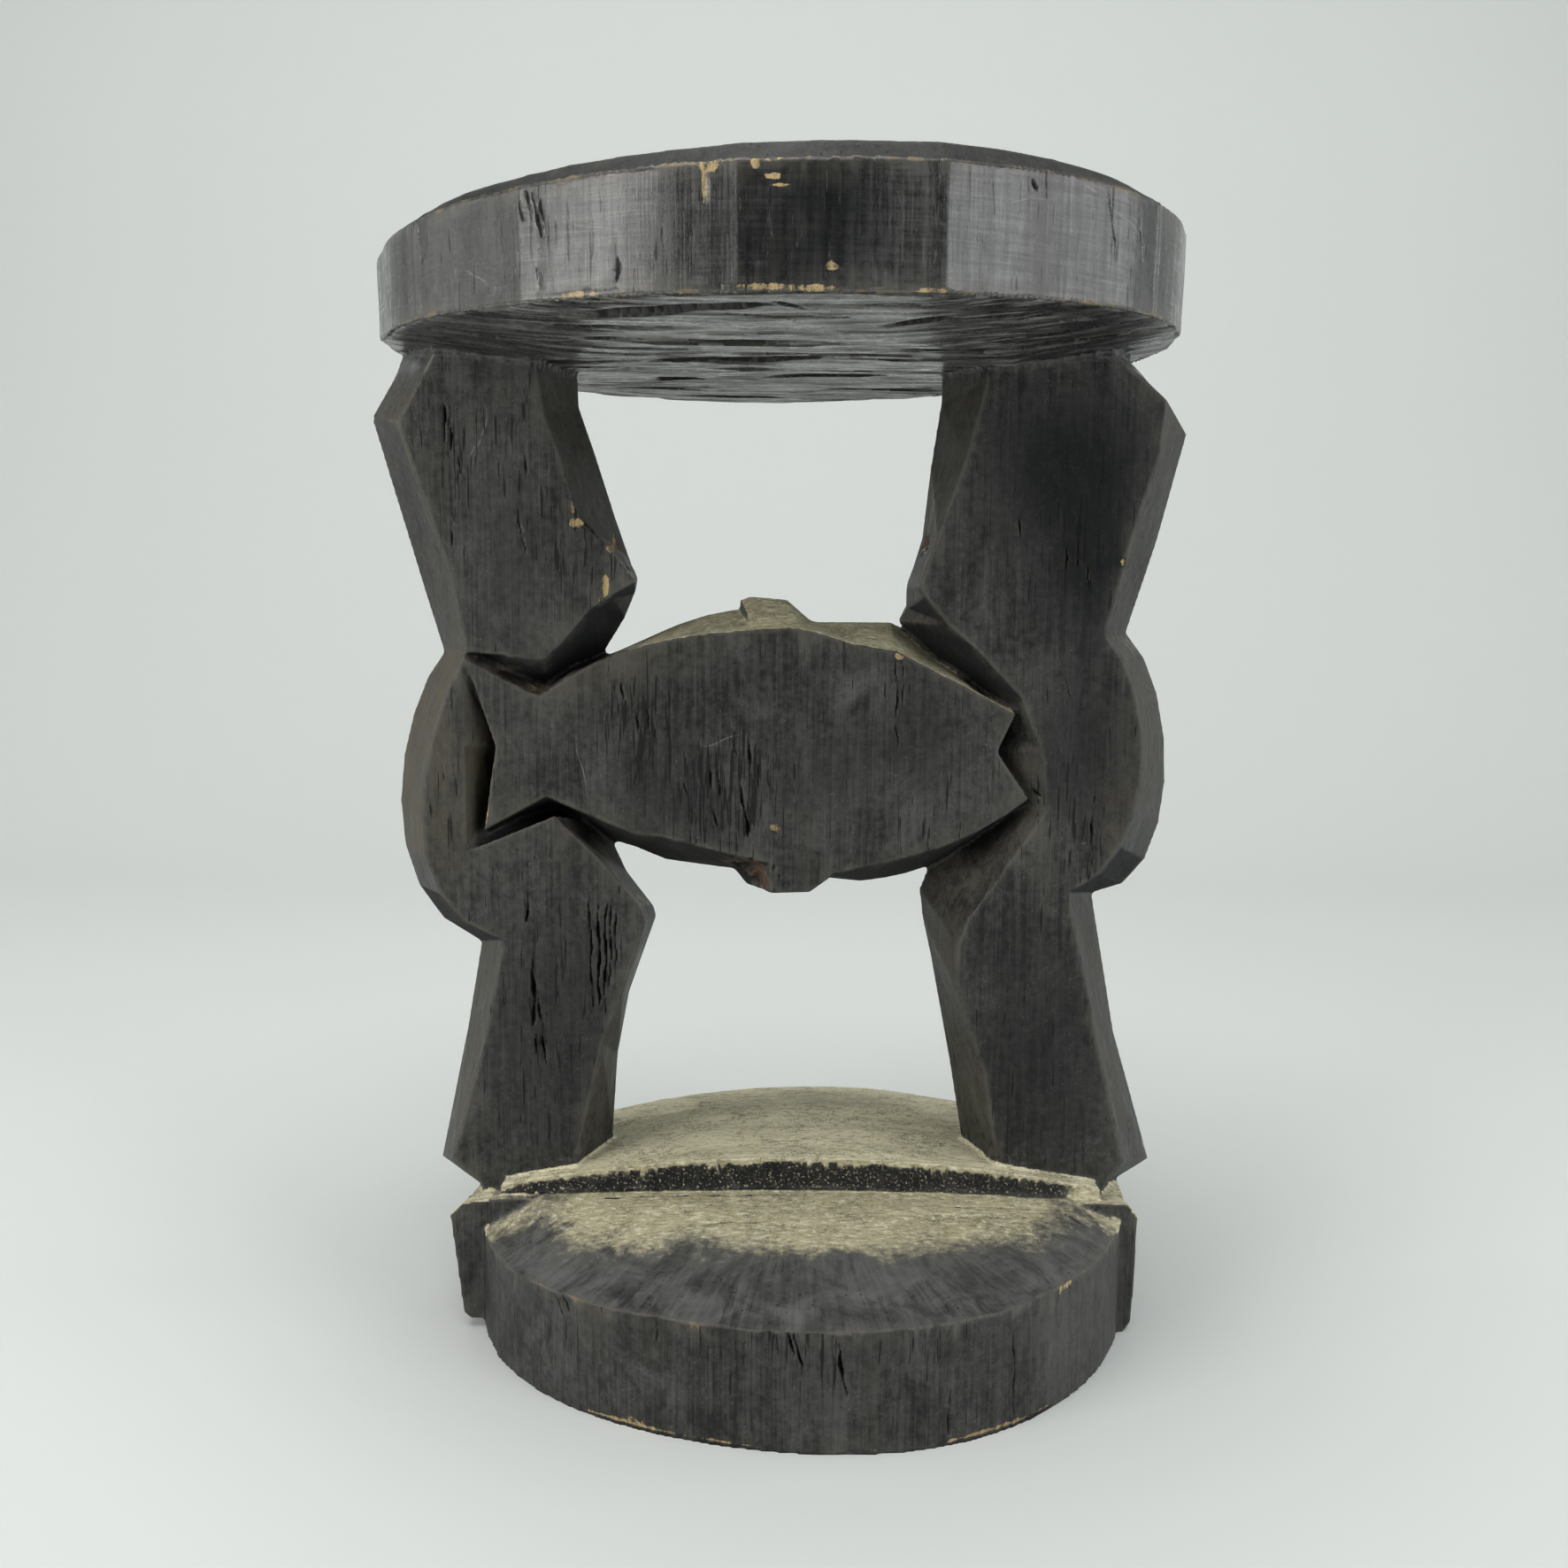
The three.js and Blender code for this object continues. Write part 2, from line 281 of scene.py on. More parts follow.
# the rims of seat and foot run in soft curves, the seat's with corners at a few angles
rounding = {
    "seat": {"centre": form["seatCentre"], "zFrom": 358, "zFull": 366, "zTop": 400, "inner": 112, "full": 138,
             "soft": 15, "corners": [-78, 17, 74], "within": 180},
    "foot": {"centre": (0, 0), "zFrom": -1, "zFull": 0, "zTop": 40, "inner": 100, "full": 122,
             "soft": 8, "corners": [], "within": 62},
}


def roundRim(piece, rim):
    points, normals = readSkin(piece)
    x = points[:, 0] - rim["centre"][0]
    y = points[:, 1] - rim["centre"][1]
    z = points[:, 2]
    reach = np.hypot(x, y)
    turn = np.degrees(np.arctan2(x, -y))
    side = (np.abs(normals[:, 2]) < 0.3) & between(z, rim["zFull"] + 6, rim["zTop"]) & (reach > rim["full"])
    # the outline's radius at every second degree, smoothed less near a corner
    bins = np.floor((turn[side] + 180) / 2).astype(int) % 180
    radius = np.zeros(180)
    np.maximum.at(radius, bins, reach[side])
    held = np.where(radius > 0)[0]
    radius = np.interp(np.arange(180), held, radius[held], period=180)
    centres = np.arange(180) * 2 - 179
    smooth = np.empty(180)
    for i, angle in enumerate(centres):
        soft = min([rim["soft"]] + [2.2 + 0.9 * max(0, abs(angle - corner) - 2) for corner in rim["corners"]])
        away = (centres - angle + 180) % 360 - 180
        weight = np.exp(-0.5 * (away / soft) ** 2)
        smooth[i] = (radius * weight).sum() / weight.sum()
    factor = np.interp(turn, centres, smooth / radius, period=360)
    share = ramp(reach, rim["inner"], rim["full"]) * ramp(z, rim["zFrom"], rim["zFull"])
    share *= (z < rim["zTop"] + 20) * ramp(-np.abs(turn), -rim["within"] - 1, -rim["within"] + 8)
    factor = 1 + (factor - 1) * share
    points[:, 0] = rim["centre"][0] + x * factor
    points[:, 1] = rim["centre"][1] + y * factor
    writeSkin(piece, points)


roundRim(stool, rounding["seat"])
roundRim(stool, rounding["foot"])
print("rims rounded")


# flat maps of each hewn surface: where it is, and two lengths in mm along it
def surfaces(points, normals):
    x, y, z = points.T
    nx, ny, nz = normals.T
    seatX, seatY = fromSeatCentre(x, y)
    alongSeat = np.arctan2(seatX, -seatY) * form["seatRadius"]
    alongFoot = np.arctan2(x, -y) * form["footRadius"]
    slab = between(z, form["slabFrom"], form["slabTo"])
    front = slab & between(-y, form["slabFace"], form["slabReach"]) & (ny < -0.75)
    back = slab & between(y, form["slabFace"], form["slabReach"]) & (ny > 0.75)
    seatSide = (z > form["seatSideFrom"]) & (np.abs(nz) < 0.55) & (np.hypot(seatX, seatY) > 135)
    footSide = (z < form["footSideTo"]) & (np.abs(nz) < 0.5) & (np.hypot(x, y) > 112)
    footTop = (z < form["footTo"]) & (nz > 0.5) & (np.abs(y - form["stepY"]) > 2.6)
    return {
        "underside": (between(z, form["seatFrom"], 380) & (nz < -0.6), x, y),
        "seatRim": (seatSide, alongSeat, z),
        "seatTop": ((z > form["seatTopFrom"]) & (nz > 0.6), x, y),
        "front": (front, x, z),
        "back": (back, x, z),
        "footTop": (footTop, x, y),
        "footRim": (footSide, alongFoot, z),
        "armSide": ((y < -6) & between(x, -84, -58) & between(z, 278, 318) & (nx > 0.15), x, z),
        "tailTop": ((y < -14) & between(x, -108, -90) & between(z, 238, 254) & (nz > 0.2), x, z),
        "tailSide": ((y < -22) & between(x, -124, -112) & between(z, 186, 214) & (nx < -0.25), x, z),
        "riser": (between(y, -41, -36) & (ny < -0.6) & between(z, 48, 70), x, z),
    }


# one stroke of the adze leaves a long shallow hollow; where strokes meet, the deeper one stays
hewing = {
    "underside": {"count": 300, "along": 4, "fan": 12,
                  "length": (40, 150), "width": (6, 18), "depth": (0.3, 1.4)},
    "seatTop": {"count": 160, "along": 8, "fan": 14,
                "length": (50, 120), "width": (12, 26), "depth": (0.15, 0.4)},
    "seatRim": {"count": 170, "along": 90, "fan": 5,
                "length": (25, 60), "width": (9, 24), "depth": (0.02, 0.09)},
    "front": {"count": 150, "along": 90, "fan": 16,
              "length": (30, 80), "width": (12, 30), "depth": (0.06, 0.28)},
    "back": {"count": 200, "along": 90, "fan": 14,
             "length": (30, 90), "width": (10, 26), "depth": (0.10, 0.34)},
    "footTop": {"count": 170, "along": 4, "fan": 16,
                "length": (40, 110), "width": (8, 24), "depth": (0.2, 0.9)},
    "footRim": {"count": 110, "along": 90, "fan": 8,
                "length": (20, 50), "width": (8, 26), "depth": (0.05, 0.28)},
}


def hew(u, v, strokes, rng):
    depth = np.zeros(len(u))
    for _ in range(strokes["count"]):
        cu = rng.uniform(u.min(), u.max())
        cv = rng.uniform(v.min(), v.max())
        turn = math.radians(strokes["along"] + rng.uniform(-1, 1) * strokes["fan"])
        length = rng.uniform(*strokes["length"])
        width = rng.uniform(*strokes["width"])
        deep = rng.uniform(*strokes["depth"])
        du = (u - cu) * math.cos(turn) + (v - cv) * math.sin(turn)
        dv = (v - cv) * math.cos(turn) - (u - cu) * math.sin(turn)
        near = np.where((np.abs(du) < length / 2) & (np.abs(dv) < width / 2))[0]
        hollow = deep * (1 - (2 * dv[near] / width) ** 2) * (1 - (2 * du[near] / length) ** 4)
        depth[near] = np.maximum(depth[near], hollow)
    return depth


# splits, as [surface, u, v, length, lean in degrees, half width, depth]
cracks = [
    ["front", -131, 340, 15, -2, 0.7, 2.2], ["front", -129, 336, 12, -5, 0.6, 2.0],
    ["front", -126, 324, 8, -7, 0.5, 1.4], ["front", -102, 326, 9, 1, 0.5, 1.2],
    ["front", -104, 302, 20, -8, 0.45, 1.4], ["front", -129, 301, 16, -2, 0.4, 1.2],
    ["front", -77, 301, 12, -50, 0.6, 3.0], ["armSide", -68, 294, 20, -29, 1.0, 4.0],
    ["front", -73, 308, 14, -22, 0.7, 3.0], ["front", -69, 298, 8, -18, 0.9, 3.5],
    ["front", -22, 199, 20, -10, 0.7, 2.6], ["front", -20, 220, 9, -4, 0.6, 2.0],
    ["front", -17, 212, 9, -4, 0.7, 2.2], ["front", -35, 211, 8, -8, 0.6, 1.8],
    ["front", -32, 209, 10, -7, 0.6, 2.0], ["front", -33, 195, 10, -13, 0.5, 1.5],
    ["front", -26, 223, 8, -14, 0.5, 1.4], ["front", -44, 207, 6, -11, 0.5, 1.2],
    ["front", -42, 189, 7, -3, 0.5, 1.2], ["front", -21, 192, 7, -8, 1.0, 3.0],
    ["front", -104, 161, 12, 1, 0.7, 2.6], ["front", -102, 128, 28, 0, 1.0, 3.5],
    ["front", -100, 123, 13, -2, 0.6, 2.2], ["front", -98, 106, 12, -6, 0.8, 2.6],
    ["front", -101, 109, 10, -1, 0.6, 2.0], ["front", -80, 143, 47, -1, 0.55, 2.2],
    ["front", -77, 142, 46, 0, 0.7, 3.2], ["front", -74.5, 143, 47, 1, 0.6, 2.8],
    ["front", -72.5, 148, 37, 1, 0.5, 2.0], ["front", -70.5, 150, 28, 2, 0.5, 1.8],
    ["front", 78, 305, 10, -2, 0.5, 1.4], ["front", 99, 304, 8, -2, 0.45, 1.2],
    ["front", 95, 293, 12, -5, 0.5, 1.4], ["front", 99, 295, 11, -2, 0.6, 1.6],
    ["front", 103, 287, 10, -2, 0.5, 1.4], ["front", 97, 246, 9, -14, 0.5, 1.3],
    ["front", 108, 192, 30, -1, 0.5, 1.6], ["front", 47, 187, 14, -3, 0.45, 1.2],
    ["front", 34, 239, 35, -2, 0.5, 1.6], ["front", 36, 247, 18, -2, 0.4, 1.2],
    ["front", 104, 168, 7, -85, 0.7, 3.0], ["front", 87, 206, 5, -43, 0.9, 3.5],
    ["front", -67, 242, 10, -11, 0.5, 1.4], ["front", -62, 234, 12, -9, 0.6, 1.6],
    ["front", -58, 232, 11, -10, 0.5, 1.4], ["front", -56, 229, 9, -14, 0.5, 1.2],
    ["seatRim", -83, 395, 11, -11, 0.6, 1.0], ["seatRim", -80, 392, 16, -10, 0.7, 1.2],
    ["seatRim", -77.5, 391, 13, -9, 0.6, 1.0], ["seatRim", -85.5, 394, 7, -13, 0.5, 0.8],
    ["seatRim", -80, 374, 7, -18, 0.5, 0.8], ["seatRim", -52, 375, 8, -2, 0.6, 0.9],
    ["seatRim", -139, 392, 15, -7, 0.5, 0.7], ["seatRim", 75, 401, 4, -33, 0.9, 1.2],
    ["seatRim", 109, 396, 17, -14, 0.5, 0.8], ["seatRim", 127, 393, 17, -16, 0.5, 0.8],
    ["footRim", -91, 35, 9, -35, 0.7, 1.8], ["footRim", -88, 37, 7, -37, 0.6, 1.4],
    ["footRim", -51, 38, 11, -2, 0.45, 1.2], ["footRim", -4, 38, 11, -12, 0.6, 1.8],
    ["footRim", -1.5, 36, 13, -11, 0.7, 2.0], ["footRim", 13, 30, 19, -8, 0.8, 2.4],
    ["footRim", 49, 11, 18, -1, 0.45, 1.2], ["footRim", -11, 40, 8, -5, 0.45, 1.0],
    ["footRim", 74, 20, 36, -2, 0.45, 1.2], ["footTop", -65, -122, 20, -41, 0.9, 2.4],
    ["footTop", -42, -44, 80, 89, 0.8, 2.0], ["footTop", 70, -50, 60, 88, 0.6, 1.4],
    ["footTop", -27, -65, 39, 86, 0.5, 1.0], ["footTop", 68, -58, 48, 84, 0.5, 1.1],
    ["footTop", 100, -52, 17, -63, 0.6, 1.3], ["riser", -70, 52, 70, 90, 0.9, 3.0],
    ["riser", 20, 51, 90, 89, 0.9, 3.0], ["back", -90, 320, 60, 3, 0.9, 3.5],
    ["back", 60, 120, 70, -3, 0.9, 3.5], ["back", 10, 225, 50, 0, 0.7, 2.6],
    ["back", 95, 300, 40, 2, 0.7, 2.4], ["back", -88, 110, 44, -2, 0.8, 3.0],
]
# fields of fine checks, as [surface, u, v, reach u, reach v, how many]
checks = [
    ["front", -30, 207, 32, 30, 1.6], ["front", -62, 232, 22, 26, 1.5],
    ["front", -118, 325, 26, 34, 1.0], ["front", -85, 296, 26, 34, 1.0],
    ["front", -97, 118, 22, 62, 0.9], ["front", -76, 142, 10, 36, 0.7],
    ["front", 100, 205, 22, 56, 0.8], ["front", 98, 295, 24, 36, 0.9],
    ["front", 84, 110, 24, 44, 0.45], ["front", 50, 196, 20, 26, 0.5], ["front", 34, 240, 12, 22, 0.6],
    ["front", -132, 200, 14, 44, 0.5], ["seatRim", -80, 390, 14, 18, 0.8],
    ["seatRim", -50, 376, 22, 12, 0.5], ["seatRim", 118, 392, 22, 18, 0.6],
    ["seatRim", 75, 396, 16, 12, 0.5], ["footRim", -4, 34, 26, 16, 0.9],
    ["footRim", -88, 34, 18, 14, 0.8], ["footRim", 40, 26, 50, 16, 0.4],
    ["back", 0, 220, 140, 130, 0.55],
]


# where wood tore away under the seat a ledge is left, as [x, y, length, lean in degrees, reach, depth]
ledges = [
    [-41, -118, 84, -74, 11, 3.6], [-7, -127, 20, 50, 6, 2.4], [-24, -31, 92, -79, 15, 3.6],
    [-49, 27, 24, -72, 14, 5.5], [8, 14, 60, -80, 14, 3.2], [-69, -74, 40, -65, 9, 2.2],
    [34, -104, 34, -76, 9, 2.6], [-30, 93, 64, 84, 16, 3.2], [50, -60, 60, 84, 10, 2.4],
    [-20, -78, 90, 86, 10, 2.2], [30, 60, 70, -84, 14, 2.6], [-60, 60, 50, 80, 12, 2.4],
]
tornWood = {"count": 90, "length": (45, 150), "fan": 9, "reach": (4, 11), "depth": (0.6, 2.2)}


def tear(x, y, rng):
    # gives the depth torn away, and how near a ledge's wall is, as painted shade along the wall
    rows = [list(row) for row in ledges]
    for _ in range(tornWood["count"]):
        rows.append([rng.uniform(-110, 110), rng.uniform(-130, 130), rng.uniform(*tornWood["length"]),
                     90 + rng.uniform(-1, 1) * tornWood["fan"], rng.uniform(*tornWood["reach"]),
                     rng.uniform(*tornWood["depth"])])
    depth = np.zeros(len(x))
    wall = np.zeros(len(x))
    for i, (cx, cy, length, lean, reach, deep) in enumerate(rows):
        lean = math.radians(lean)
        along = (y - cy) * math.cos(lean) + (x - cx) * math.sin(lean)
        toward = (x - cx) * math.cos(lean) - (y - cy) * math.sin(lean)
        if math.sin(lean) < 0:
            toward = -toward
        toward = toward + 0.8 * np.sin(along * 0.09 + i) + 0.3 * np.sin(along * 0.31 + 2 * i)
        taper = np.clip(1 - (2 * along / length) ** 2, 0, 1)
        inside = (toward > 0) & (toward < reach)
        depth = np.maximum(depth, np.where(inside, deep * taper * (1 - toward / reach), 0))
        shade = ramp(-np.abs(toward - 0.6), -2.2, -0.8) * ramp(deep * taper, 1.1, 2.8)
        wall = np.maximum(wall, shade)
    return depth, wall


def split(u, v, half, deep, cu, cv, length, lean, seed):
    # a split wanders a little and closes at both ends
    lean = math.radians(lean)
    along = (v - cv) * math.cos(lean) + (u - cu) * math.sin(lean)
    across = (u - cu) * math.cos(lean) - (v - cv) * math.sin(lean)
    near = np.where((np.abs(along) < length / 2) & (np.abs(across) < half + 2))[0]
    t = along[near]
    wander = 0.35 * np.sin(t * 0.28 + seed) + 0.12 * np.sin(t * 0.9 + 2 * seed)
    taper = np.sqrt(np.clip(1 - (2 * t / length) ** 2, 0, 1)) * (0.75 + 0.25 * np.sin(t * 0.5 + 3 * seed))
    cut = np.clip(1 - np.abs(across[near] - wander) / (half * np.clip(taper, 0.05, 1)), 0, 1)
    depth = np.zeros(len(u))
    depth[near] = deep * taper * np.minimum(1, cut * 1.6)
    return depth


def allSplits(areas, grow):
    full = np.zeros(len(areas["front"][1]))
    for i, (surface, cu, cv, length, lean, half, deep) in enumerate(cracks):
        inside, u, v = areas[surface]
        own = np.where(inside)[0]
        depth = split(u[own], v[own], half + grow, deep, cu, cv, length + 2 * grow, lean, i)
        full[own] = np.maximum(full[own], depth)
    return full


def refineAlongSplits(piece):
    points, normals = readSkin(piece)
    near = allSplits(surfaces(points, normals), 1.2) > 0
    mesh = piece.data
    pick(piece)
    corners = np.empty(len(mesh.loops), dtype=np.int64)
    mesh.loops.foreach_get("vertex_index", corners)
    starts = np.empty(len(mesh.polygons), dtype=np.int64)
    mesh.polygons.foreach_get("loop_start", starts)
    chosen = np.add.reduceat(near[corners].astype(np.int64), starts) > 0
    mesh.vertices.foreach_set("select", np.zeros(len(mesh.vertices), dtype=bool))
    mesh.edges.foreach_set("select", np.zeros(len(mesh.edges), dtype=bool))
    mesh.polygons.foreach_set("select", chosen)
    bpy.context.tool_settings.mesh_select_mode = (False, False, True)
    bpy.ops.object.mode_set(mode="EDIT")
    bpy.ops.mesh.subdivide(number_cuts=1)
    bpy.ops.object.mode_set(mode="OBJECT")


refineAlongSplits(stool)
print("refined along the splits", len(stool.data.polygons), "faces")


# flakes broken off to lighter wood, as [surface, u, v, reach u, reach v, depth, paleness]
flakes = [
    ["seatRim", -23.6, 403, 2.8, 2.8, 0.5, 0.9], ["seatRim", -24.8, 397, 1.0, 6.0, 0.4, 0.8],
    ["seatRim", -14.5, 405, 7.0, 1.2, 0.4, 0.8], ["seatRim", -5.5, 404.5, 6.0, 1.3, 0.4, 0.8],
    ["seatRim", -5.0, 399, 4.0, 0.9, 0.3, 0.7], ["seatRim", -3.0, 396.6, 3.0, 0.7, 0.3, 0.6],
    ["seatRim", -10, 403, 1.4, 2.6, 0.4, 0.8], ["seatRim", 12.3, 374.5, 2.4, 1.2, 0.4, 0.9],
    ["seatRim", -8, 368.8, 11, 1.2, 0.4, 0.7], ["seatRim", 8, 368.4, 8, 1.5, 0.5, 0.6],
    ["seatRim", 42, 368.2, 7, 1.4, 0.5, 0.7], ["seatRim", -66, 368.4, 16, 1.2, 0.4, 0.6],
    ["seatRim", 24, 406.2, 5, 1.3, 0.4, 0.7], ["seatRim", -52, 404.5, 12, 1.2, 0.3, 0.5],
    ["front", -83.5, 304.6, 3.0, 2.0, 0.9, 1.0], ["front", -84.8, 310.5, 0.9, 3.2, 0.8, 0.8],
    ["armSide", -71.5, 299, 1.2, 5.0, 0.8, 1.0], ["front", -73.4, 281, 1.3, 5.2, 1.2, 0.85],
    ["front", -75.2, 276, 0.9, 2.4, 0.6, 0.7], ["tailTop", -99, 246, 3.2, 3.0, 0.8, 1.0],
    ["tailSide", -119, 199, 1.3, 9, 0.3, 0.8], ["front", 34.8, 257.1, 1.7, 1.7, 0.4, 1.0],
    ["front", 116.3, 291.3, 2.4, 1.8, 0.5, 0.6], ["front", -10.3, 192.4, 2.6, 2.2, 0.5, 0.7],
    ["footRim", -86, 43.5, 5, 1.1, 0.4, 0.9], ["footRim", -70, 43.8, 3, 0.9, 0.3, 0.7],
    ["footRim", -10, 44.2, 6, 1.2, 0.4, 0.8], ["footRim", 12, 44.3, 6, 1.3, 0.4, 0.6],
    ["footRim", -60, 1.2, 18, 1.3, 0.5, 0.9], ["footRim", -28, 1.0, 14, 1.0, 0.4, 0.7],
    ["footRim", 66, 1.2, 20, 1.5, 0.5, 0.9], ["footRim", 86, 1.0, 8, 1.1, 0.4, 0.7],
    ["footRim", 20, 1.0, 9, 1.2, 0.4, 0.5], ["footRim", 100, 43.0, 5, 1.4, 0.5, 0.7],
]
# larger breaks, as (x, y, z), reach, depth
breaks = [
    [(-23, -22, 171), (12, 12, 8), 2.6], [(43, -12, 299), (3.5, 9, 3.5), 2.4],
    [(-64, -8, 289.5), (2.6, 26, 2.6), 2.4],
]
# what a hand-hewn face is uneven by, as depth, cell size, seed
unevenness = {
    "broad": (0.25, (38, 38, 60), 3), "close": (0.10, (5, 5, 26), 5), "rim": (0.16, (17, 17, 24), 11),
}
raggedness = {"amount": 0.45, "cell": (1.8, 1.8, 3), "seed": 9}
seatProud = {"top": 0.5, "side": 0.45}   # by so much the seat's rim stands out to the solid again


def uneven(points, name):
    deep, cell, seed = unevenness[name]
    return deep * (1 + softNoise(points, cell, seed)) * 0.5


def hewAll(areas, depth, rng):
    for surface, strokes in hewing.items():
        inside, u, v = areas[surface]
        own = np.where(inside)[0]
        depth[own] = np.maximum(depth[own], hew(u[own], v[own], strokes, rng))


def tearUnderside(areas, depth, rng):
    inside, x, y = areas["underside"]
    own = np.where(inside)[0]
    torn, wall = tear(x[own], y[own], rng)
    depth[own] = np.maximum(depth[own], torn)
    ledgeShades = np.zeros(len(depth))
    ledgeShades[own] = wall
    return ledgeShades


def workSurface(piece):
    points, normals = readSkin(piece)
    z = points[:, 2]
    areas = surfaces(points, normals)
    rng = np.random.default_rng(4)
    depth = np.zeros(len(points))
    hewAll(areas, depth, rng)
    ledgeShades = tearUnderside(areas, depth, rng)
    depth += uneven(points, "broad")
    depth += uneven(points, "close")
    depth += uneven(points, "rim") * ramp(z, 358, 372)
    upright = np.abs(normals[:, 2]) < 0.6
    depth -= seatProud["top"] * ramp(z, 374, 396) + seatProud["side"] * ramp(z, 362, 368) * upright
    ragged = 1 + raggedness["amount"] * softNoise(points, raggedness["cell"], raggedness["seed"])
    bare = np.zeros(len(points))
    for surface, cu, cv, reachU, reachV, deep, pale in flakes:
        inside, u, v = areas[surface]
        far = np.hypot((u - cu) / reachU, (v - cv) / reachV) + 9 * ~inside
        depth += deep * np.sqrt(np.clip(1 - (far * ragged) ** 2, 0, 1))
        bare = np.maximum(bare, pale * np.clip(1.5 - far, 0, 1))
    reddish = np.zeros(len(points))
    for place, reach, deep in breaks:
        far = np.linalg.norm((points - np.array(place)) / np.array(reach), axis=1)
        depth += deep * np.sqrt(np.clip(1 - (far * ragged) ** 2, 0, 1))
        reddish = np.maximum(reddish, np.clip(1.4 - far, 0, 1))
    writeSkin(piece, points - normals * depth[:, None])
    mark(piece, "wall", ledgeShades)
    mark(piece, "bare", bare * (z > form["wornFrom"]))
    mark(piece, "reddish", reddish)


def openSplits(piece):
    points, normals = readSkin(piece)
    opened = allSplits(surfaces(points, normals), 0)
    writeSkin(piece, points - normals * opened[:, None])
    mark(piece, "split", np.clip(opened, 0, 1))


def edgesOfSkin(piece):
    pairs = np.empty(len(piece.data.edges) * 2, dtype=np.int64)
    piece.data.edges.foreach_get("vertices", pairs)
    return pairs.reshape(-1, 2)


def markEdges(piece, steps):
    # how far the surface stands proud of its own smoothed shape
    points, normals = readSkin(piece)
    pairs = edgesOfSkin(piece)
    count = np.bincount(pairs.ravel(), minlength=len(points))[:, None]
    smooth = points.copy()
    for _ in range(steps):
        total = np.zeros_like(smooth)
        for axis in range(3):
            total[:, axis] = (np.bincount(pairs[:, 0], smooth[pairs[:, 1], axis], len(points))
                              + np.bincount(pairs[:, 1], smooth[pairs[:, 0], axis], len(points)))
        smooth = total / np.maximum(count, 1)
    proud = ((points - smooth) * normals).sum(1)
    x, y, z = points.T
    # wood shows through along the rims of seat and foot; the edges between them only turn greyer.
    # the resting face takes no wear, so nothing shows across its long flat triangles
    seatReach = np.hypot(*fromSeatCentre(x, y))
    outer = np.where(z > 300, seatReach > 140, np.hypot(x, y) > 118)
    rims = between(z, 362, 372) | (z > 398) | between(z, 40, 47) | (z < 5)
    worn = z > form["wornFrom"]
    mark(piece, "edge", ramp(proud, 0.14, 0.46) * worn)
    mark(piece, "rubbed", ramp(proud, 0.16, 0.55) * worn * outer * rims)


workSurface(stool)
markEdges(stool, skin["edgeSteps"])
openSplits(stool)
print("surface worked")


# scratches, as [surface, u, v, length, lean in degrees]
scratches = [
    ["front", -117, 337, 12, 24], ["front", -121, 330, 5, 40], ["front", -31, 225, 12, 73],
    ["front", -83, 216, 17, -11], ["seatRim", -106, 377, 11, -58], ["seatRim", -97, 373, 8, -74],
    ["seatRim", -91, 375, 8, 52], ["seatRim", 116, 397, 46, -70], ["seatRim", -59, 387, 18, -76],
    ["seatRim", 70, 396, 25, 81], ["underside", -40, 44, 45, -43], ["underside", 19, 7, 55, 36],
    ["underside", -16, -72, 33, -47], ["underside", 60, -60, 40, 50],
]
# tones laid over the black, as name: [surface, u, v, reach u, reach v, amount]
blots = {
    "powder": [
        ["front", 20, 243, 17, 17, 1.0], ["front", 34, 196, 24, 26, 0.7],
        ["front", -62, 222, 26, 14, 0.35], ["front", -112, 330, 22, 16, 0.35],
        ["front", 84, 250, 26, 24, 0.3], ["seatRim", -140, 386, 18, 18, 0.9],
        ["seatRim", -100, 402, 44, 5, 1.0], ["seatRim", -48, 404, 36, 4, 1.0],
        ["seatRim", -100, 382, 18, 14, 0.7], ["seatRim", -55, 388, 30, 18, 0.7],
        ["seatRim", 62, 388, 26, 18, 0.6], ["seatRim", 112, 390, 26, 18, 0.7],
        ["footRim", -46, 20, 26, 13, 0.9], ["footRim", -8, 16, 26, 12, 0.5],
        ["footRim", 40, 20, 30, 14, 0.7], ["footRim", -108, 22, 36, 26, 1.0],
        ["footRim", 96, 24, 22, 22, 0.9], ["footTop", -96, -66, 20, 24, 1.0],
        ["footTop", 104, -60, 18, 24, 1.0], ["footTop", 10, -112, 60, 12, 0.5],
        ["footTop", -60, -96, 30, 14, 0.6],
    ],
    # deep: blacker, duller patches; the two on the underside beyond the legs are painted shade
    "deep": [
        ["underside", 105, 0, 50, 190, 1.0], ["underside", -122, 0, 45, 190, 0.6],
        ["seatTop", -7, 5, 300, 300, 0.72], ["riser", 0, 58, 300, 60, 0.9],
        ["front", 96, 322, 44, 50, 1.0], ["front", 104, 225, 30, 40, 0.8],
        ["front", -50, 205, 24, 20, 0.5], ["front", 10, 212, 18, 16, 0.5],
        ["front", -108, 290, 16, 40, 0.4], ["front", 80, 130, 20, 40, 0.5],
        ["seatRim", 6, 388, 38, 34, 1.0], ["front", 104, 300, 30, 60, 1.0],
        ["front", -95, 108, 34, 60, 0.6], ["front", 92, 100, 34, 60, 0.7],
        ["front", 40, 225, 30, 24, 0.5],
    ],
    "tan": [
        ["front", -76, 249, 16, 12, 0.8], ["front", -134, 205, 9, 44, 0.8],
        ["front", -60, 256, 30, 8, 0.5], ["front", 118, 205, 9, 44, 0.5],
    ],
}
# painted shade in the hollows round the tail and the mouth of the fish, as [x, z, reach x, reach z]
shadedHollows = [[-92, 252, 26, 9], [-96, 192, 26, 9], [83, 214, 9, 24], [70, 240, 22, 10], [70, 190, 24, 9]]
# the tail's upright edge: its waist, and how fast it runs out below and above
tailEdge = {"x": -115.4, "z": 226, "below": 0.13, "above": 0.39, "low": 184, "high": 250}
eye = {"far": 607, "front": 577}   # from the camera to the slab's middle, and to its front face
fewChecks = 0.12                   # dry checks lie thinly everywhere


